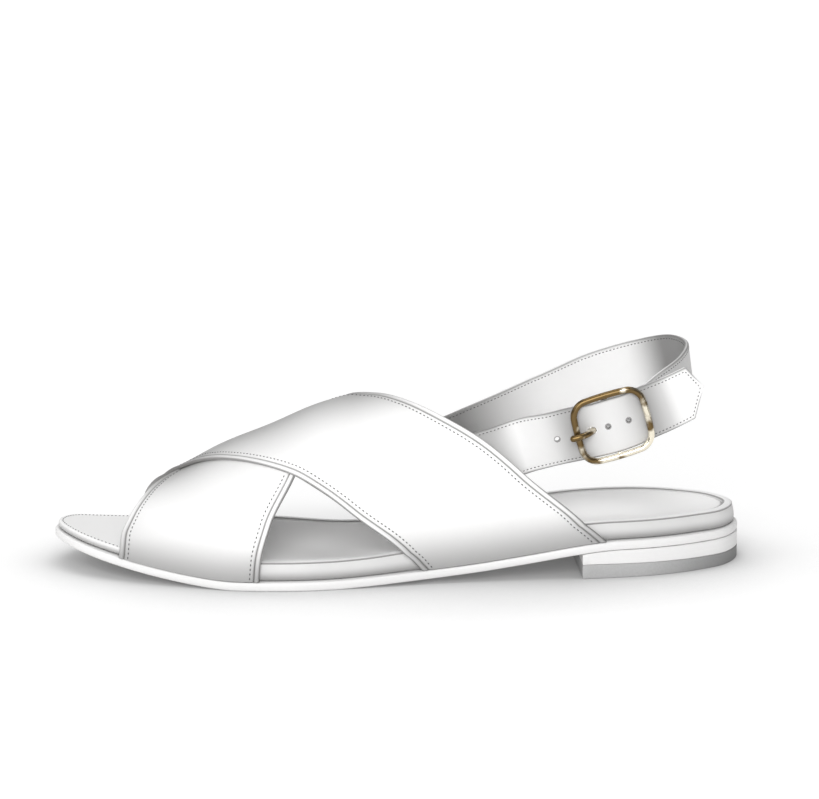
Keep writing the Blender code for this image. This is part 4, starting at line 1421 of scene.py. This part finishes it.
def band_lines(band, keep, round_tip=False):
    """Stitch lines near both edges of a strap, on both faces."""
    lines = []
    for face in (1.0, -1.0):
        chains = []
        for edge, way in ((1, 1.0), (0, -1.0)):
            side = edge_line(band, edge, SLING_STITCH_INSET)
            places = on_band(band, side * way, face * SLING_WALL / 2 * SLING_STITCH_RISE)
            good = keep & (side > SLING_STITCH_LEAST)
            chains.append((places[good], band.out[good] * face))
        if round_tip:
            upper, lower = chains
            chains = [tuple(np.vstack([there, back[::-1]]) for there, back in zip(upper, lower))]
        lines += chains
    return lines


def hole_rod(start, end, radius):
    """A round helper rod between two places, for cutting a hole."""
    let_go()
    length = float(np.linalg.norm(end - start)) * MM
    bpy.ops.mesh.primitive_cylinder_add(vertices=HOLE_SIDES, radius=radius * MM, depth=length)
    rod = bpy.context.object
    way = unit(end - start)
    side = unit(np.cross(way, BUCKLE_TALL))
    rod.data.transform(placing(side, np.cross(way, side), way, (start + end) / 2 * MM))
    return rod


def slot_block():
    """A helper block for cutting the slot that lets the prong's hook through the fold."""
    let_go()
    bpy.ops.mesh.primitive_cube_add(size=MM)
    block = bpy.context.object
    along = BUCKLE_LONG * (SLOT_ALONG[1] - SLOT_ALONG[0])
    out = BUCKLE_OUT * (SLOT_OUT[1] - SLOT_OUT[0])
    middle = buckle_point(sum(SLOT_ALONG) / 2, 0.0, sum(SLOT_OUT) / 2)
    block.data.transform(placing(along, BUCKLE_TALL * 2 * SLOT_HALF, out, middle * MM))
    return block


def make_billet():
    """The pointed strap, with its holes and its stitches."""
    rows = [anchor_row(anchor) for anchor in BILLET_ANCHORS] + [billet_row(row) for row in BILLET]
    band = band_path(rows, TIP_LENGTHS)
    along = (band.places - BUCKLE_CENTRE) @ BUCKLE_LONG
    # Painted shade: darker by the vamp and about the frame's sides, and none towards the tip.
    bends = np.exp(-((np.abs(along) - FRAME_LONG / 2) / BEND_REACH) ** 2)
    shade = np.maximum(ease(-along, *BILLET_FOOT_SHADE), BILLET_SHADE + BEND_SHADE * bends)
    shade = np.minimum(shade, 1.0 - ease(along, *BILLET_TIP_LIGHT))
    strap = band_skin("billet", band, shade, shade)
    for hole in SLING_HOLES:
        ends = [buckle_point(hole, 0.0, out) for out in HOLE_CUT]
        cut(strap, hole_rod(*ends, SLING_HOLE))
    rise = prong_path()[PRONG_STEPS:PRONG_STEPS + 2]
    cut(strap, hole_rod(*rise, PRONG_WIRE + GAP))
    leather = white_finish("billet_leather", [buckle_point(hole, 0.0, 0.0) for hole in SLING_HOLES])
    dress(strap, leather, "sling", "billet_strap")
    lines = band_lines(band, (along > BILLET_STITCH_START) & (along < -BUCKLE_STITCH_STOP))
    lines += band_lines(band, along > BUCKLE_STITCH_STOP, round_tip=True)
    sew("billet_stitches", lines, SLING_STITCH, "sling")


def make_heel_strap():
    """The strap round the heel, slotted for the prong where it folds round the bar."""
    rows = fold_rows() + [loop_row(loop) for loop in HEEL_LOOP]
    rows += [anchor_row(anchor) for anchor in HEEL_ANCHORS]
    band = band_path(rows)
    x = band.places[:, 0]
    # Painted shade: darker near the front end and round the back bend, most on the inner face.
    front = 1.0 - ease(x, *HEEL_STRAP_FRONT)
    back = ease(x, *HEEL_STRAP_BACK)
    outside = np.maximum(HEEL_STRAP_OUTSIDE[0] * front, HEEL_STRAP_OUTSIDE[1] * back)
    inside = HEEL_STRAP_INSIDE * np.maximum(front, back)
    strap = band_skin("heel_strap_band", band, outside, inside)
    cut(strap, slot_block())
    dress(strap, WHITE, "sling", "heel_strap")
    past_fold = band.left[0] - band.left > HEEL_STITCH_STOPS[0]
    lines = band_lines(band, past_fold & (band.left > HEEL_STITCH_STOPS[1]))
    sew("heel_strap_stitches", lines, SLING_STITCH, "sling")


# Buckle

def frame_path():
    """Middle of the buckle's wire: a rectangle with round corners and slightly bowed sides."""
    half_long = FRAME_LONG / 2 - FRAME_WIRE
    half_tall = FRAME_TALL / 2 - FRAME_WIRE
    radius = FRAME_CORNER - FRAME_WIRE
    corners = []
    for quarter, (along, across) in enumerate(((1, 1), (-1, 1), (-1, -1), (1, -1))):
        for turn in np.linspace(0.0, math.pi / 2, FRAME_CORNER_STEPS) + quarter * math.pi / 2:
            long_place = along * (half_long - radius) + radius * math.cos(turn)
            tall_place = across * (half_tall - radius) + radius * math.sin(turn)
            corners.append(buckle_point(long_place, tall_place, FRAME_OUT))
    return through(corners, FRAME_SPACING, closed=True)


def bar_path():
    """Middle of the centre bar, dropped behind the frame on two legs."""
    rail = FRAME_TALL / 2 - FRAME_WIRE - BAR_IN
    half = [(rail, FRAME_OUT)]
    for turn in np.linspace(0.0, math.pi / 2, BAR_BEND_STEPS):
        half.append((rail - BAR_BEND * (1 - math.cos(turn)), BAR_BEND * (1 - math.sin(turn))))
    ends = half + [(-across, out) for across, out in reversed(half)]
    return through([buckle_point(0.0, across, out) for across, out in ends], BAR_SPACING)


def prong_path():
    """Middle of the prong: half round the bar, up through the strap and over the frame's front."""
    over = FRAME_OUT + FRAME_WIRE + GAP + PRONG_WIRE
    front = FRAME_LONG / 2 - FRAME_WIRE
    lies = []
    for turn in np.linspace(0.0, -PRONG_WRAP, PRONG_STEPS):
        lies.append((HOOK_RADIUS * math.cos(turn), HOOK_RADIUS * math.sin(turn)))
    lies.append(PRONG_LIFT)
    lies.append((-front + PRONG_CREST, over - PRONG_DROP))
    lies.append((-front, over))
    lies.append((-PRONG_REACH + PRONG_WIRE, over - PRONG_DROP))
    return [buckle_point(along, 0.0, out) for along, out in lies]


def make_buckle():
    """The frame, its centre bar on thinner legs, and the prong with rounded ends."""
    ring = wire("buckle_ring", frame_path(), FRAME_WIRE, BUCKLE_OUT, FRAME_SIDES, closed=True)
    dress(ring, BRASS, "buckle", "buckle_frame")
    path = bar_path()
    behind = FRAME_OUT - (path - BUCKLE_CENTRE) @ BUCKLE_OUT
    radii = mix(LEG_WIRE, BAR_WIRE, ease(behind, *LEG_SWELL))
    dress(wire("buckle_bar", path, radii, BUCKLE_LONG, BAR_SIDES), BRASS, "buckle", "buckle_frame")
    path = through(prong_path(), PRONG_SPACING)
    runs = runs_along(path)
    to_end = np.minimum(runs, runs[-1] - runs)
    rounding = np.clip(1.0 - to_end / PRONG_WIRE, 0.0, PRONG_END_ROUND)
    radii = PRONG_WIRE * np.sqrt(1.0 - rounding ** 2)
    dress(wire("prong", path, radii, BUCKLE_TALL, PRONG_SIDES), BRASS, "buckle", "buckle_prong")


# Stage

def make_floor():
    """Pale paper with a painted glow that keeps it white and grows brighter further out, and painted
    shadow near the shoe.
    """
    let_go()
    bpy.ops.mesh.primitive_plane_add(size=FLOOR_SIZE)
    floor = bpy.context.object
    floor.name = "floor"
    constants = {"Roughness": 0.9, "Specular IOR Level": 0.1, "Emission Strength": 1.0}
    paper = Finish("floor_paper", constants)
    paper.feed("Base Color", paper.blend(paper.noise(scale=3.0), grey(0.44), grey(0.46)))
    # Painted shadow: ambient occlusion dims the glow near the shoe and under it.
    light = paper.node("ShaderNodeAmbientOcclusion", None, {"Distance": FLOOR_SHADE_REACH})["AO"]
    light = light ** FLOOR_SHADE_POWER * FLOOR_SHADE_DEPTH + (1.0 - FLOOR_SHADE_DEPTH)
    far = paper.vectors("LENGTH", paper.place)["Value"].above(*FLOOR_GLOW_RUN)
    glow = light * (far * FLOOR_GLOW_GAIN + FLOOR_GLOW_NEAR)
    paper.feed("Emission Color", paper.blend(glow, grey(0.0), grey(1.0)))
    floor.data.materials.append(paper.material)


def make_lights():
    """A dim white sky, and soft lamps that face the shoe."""
    world = bpy.data.worlds.new("studio")
    bpy.context.scene.world = world
    world.use_nodes = True
    sky = world.node_tree.nodes["Background"]
    sky.inputs["Color"].default_value = grey(1.0)
    sky.inputs["Strength"].default_value = SKY_STRENGTH
    for row in LAMPS:
        let_go()
        bpy.ops.object.light_add(type="AREA", location=row.place)
        lamp = bpy.context.object
        lamp.name = row.name
        lamp.data.size = row.size
        lamp.data.energy = row.power
        back = unit(np.array(row.place) - CAMERA_TARGET)
        right = unit(np.cross(UP, back))
        lamp.matrix_world = placing(right, np.cross(back, right), back, row.place)


def make_camera():
    """The photograph's camera, turned round the shoe and raised above it."""
    turn = CAMERA_AZIMUTH
    level = math.cos(CAMERA_ELEVATION)
    right = np.array([math.cos(turn), math.sin(turn), 0.0])
    back = np.array([math.sin(turn) * level, -math.cos(turn) * level, math.sin(CAMERA_ELEVATION)])
    let_go()
    bpy.ops.object.camera_add()
    camera = bpy.context.object
    camera.name = "photo_camera"
    place = CAMERA_TARGET + back * CAMERA_DISTANCE
    camera.matrix_world = placing(right, np.cross(back, right), back, place)
    camera.data.lens = CAMERA_LENS
    camera.data.sensor_width = CAMERA_SENSOR
    camera.data.clip_start, camera.data.clip_end = CAMERA_CLIP
    bpy.context.scene.camera = camera
    bpy.context.scene.view_settings.view_transform = "Standard"


make_camera()
make_floor()
make_lights()
make_outsole()
make_footbed()
make_rim()
make_sock()
make_sock_stitches()
make_heel()
for vamp_strap in VAMP_STRAPS:
    make_vamp_strap(vamp_strap)
for vamp_strap in VAMP_STRAPS:
    make_vamp_stitches(vamp_strap)
make_billet()
make_heel_strap()
make_buckle()
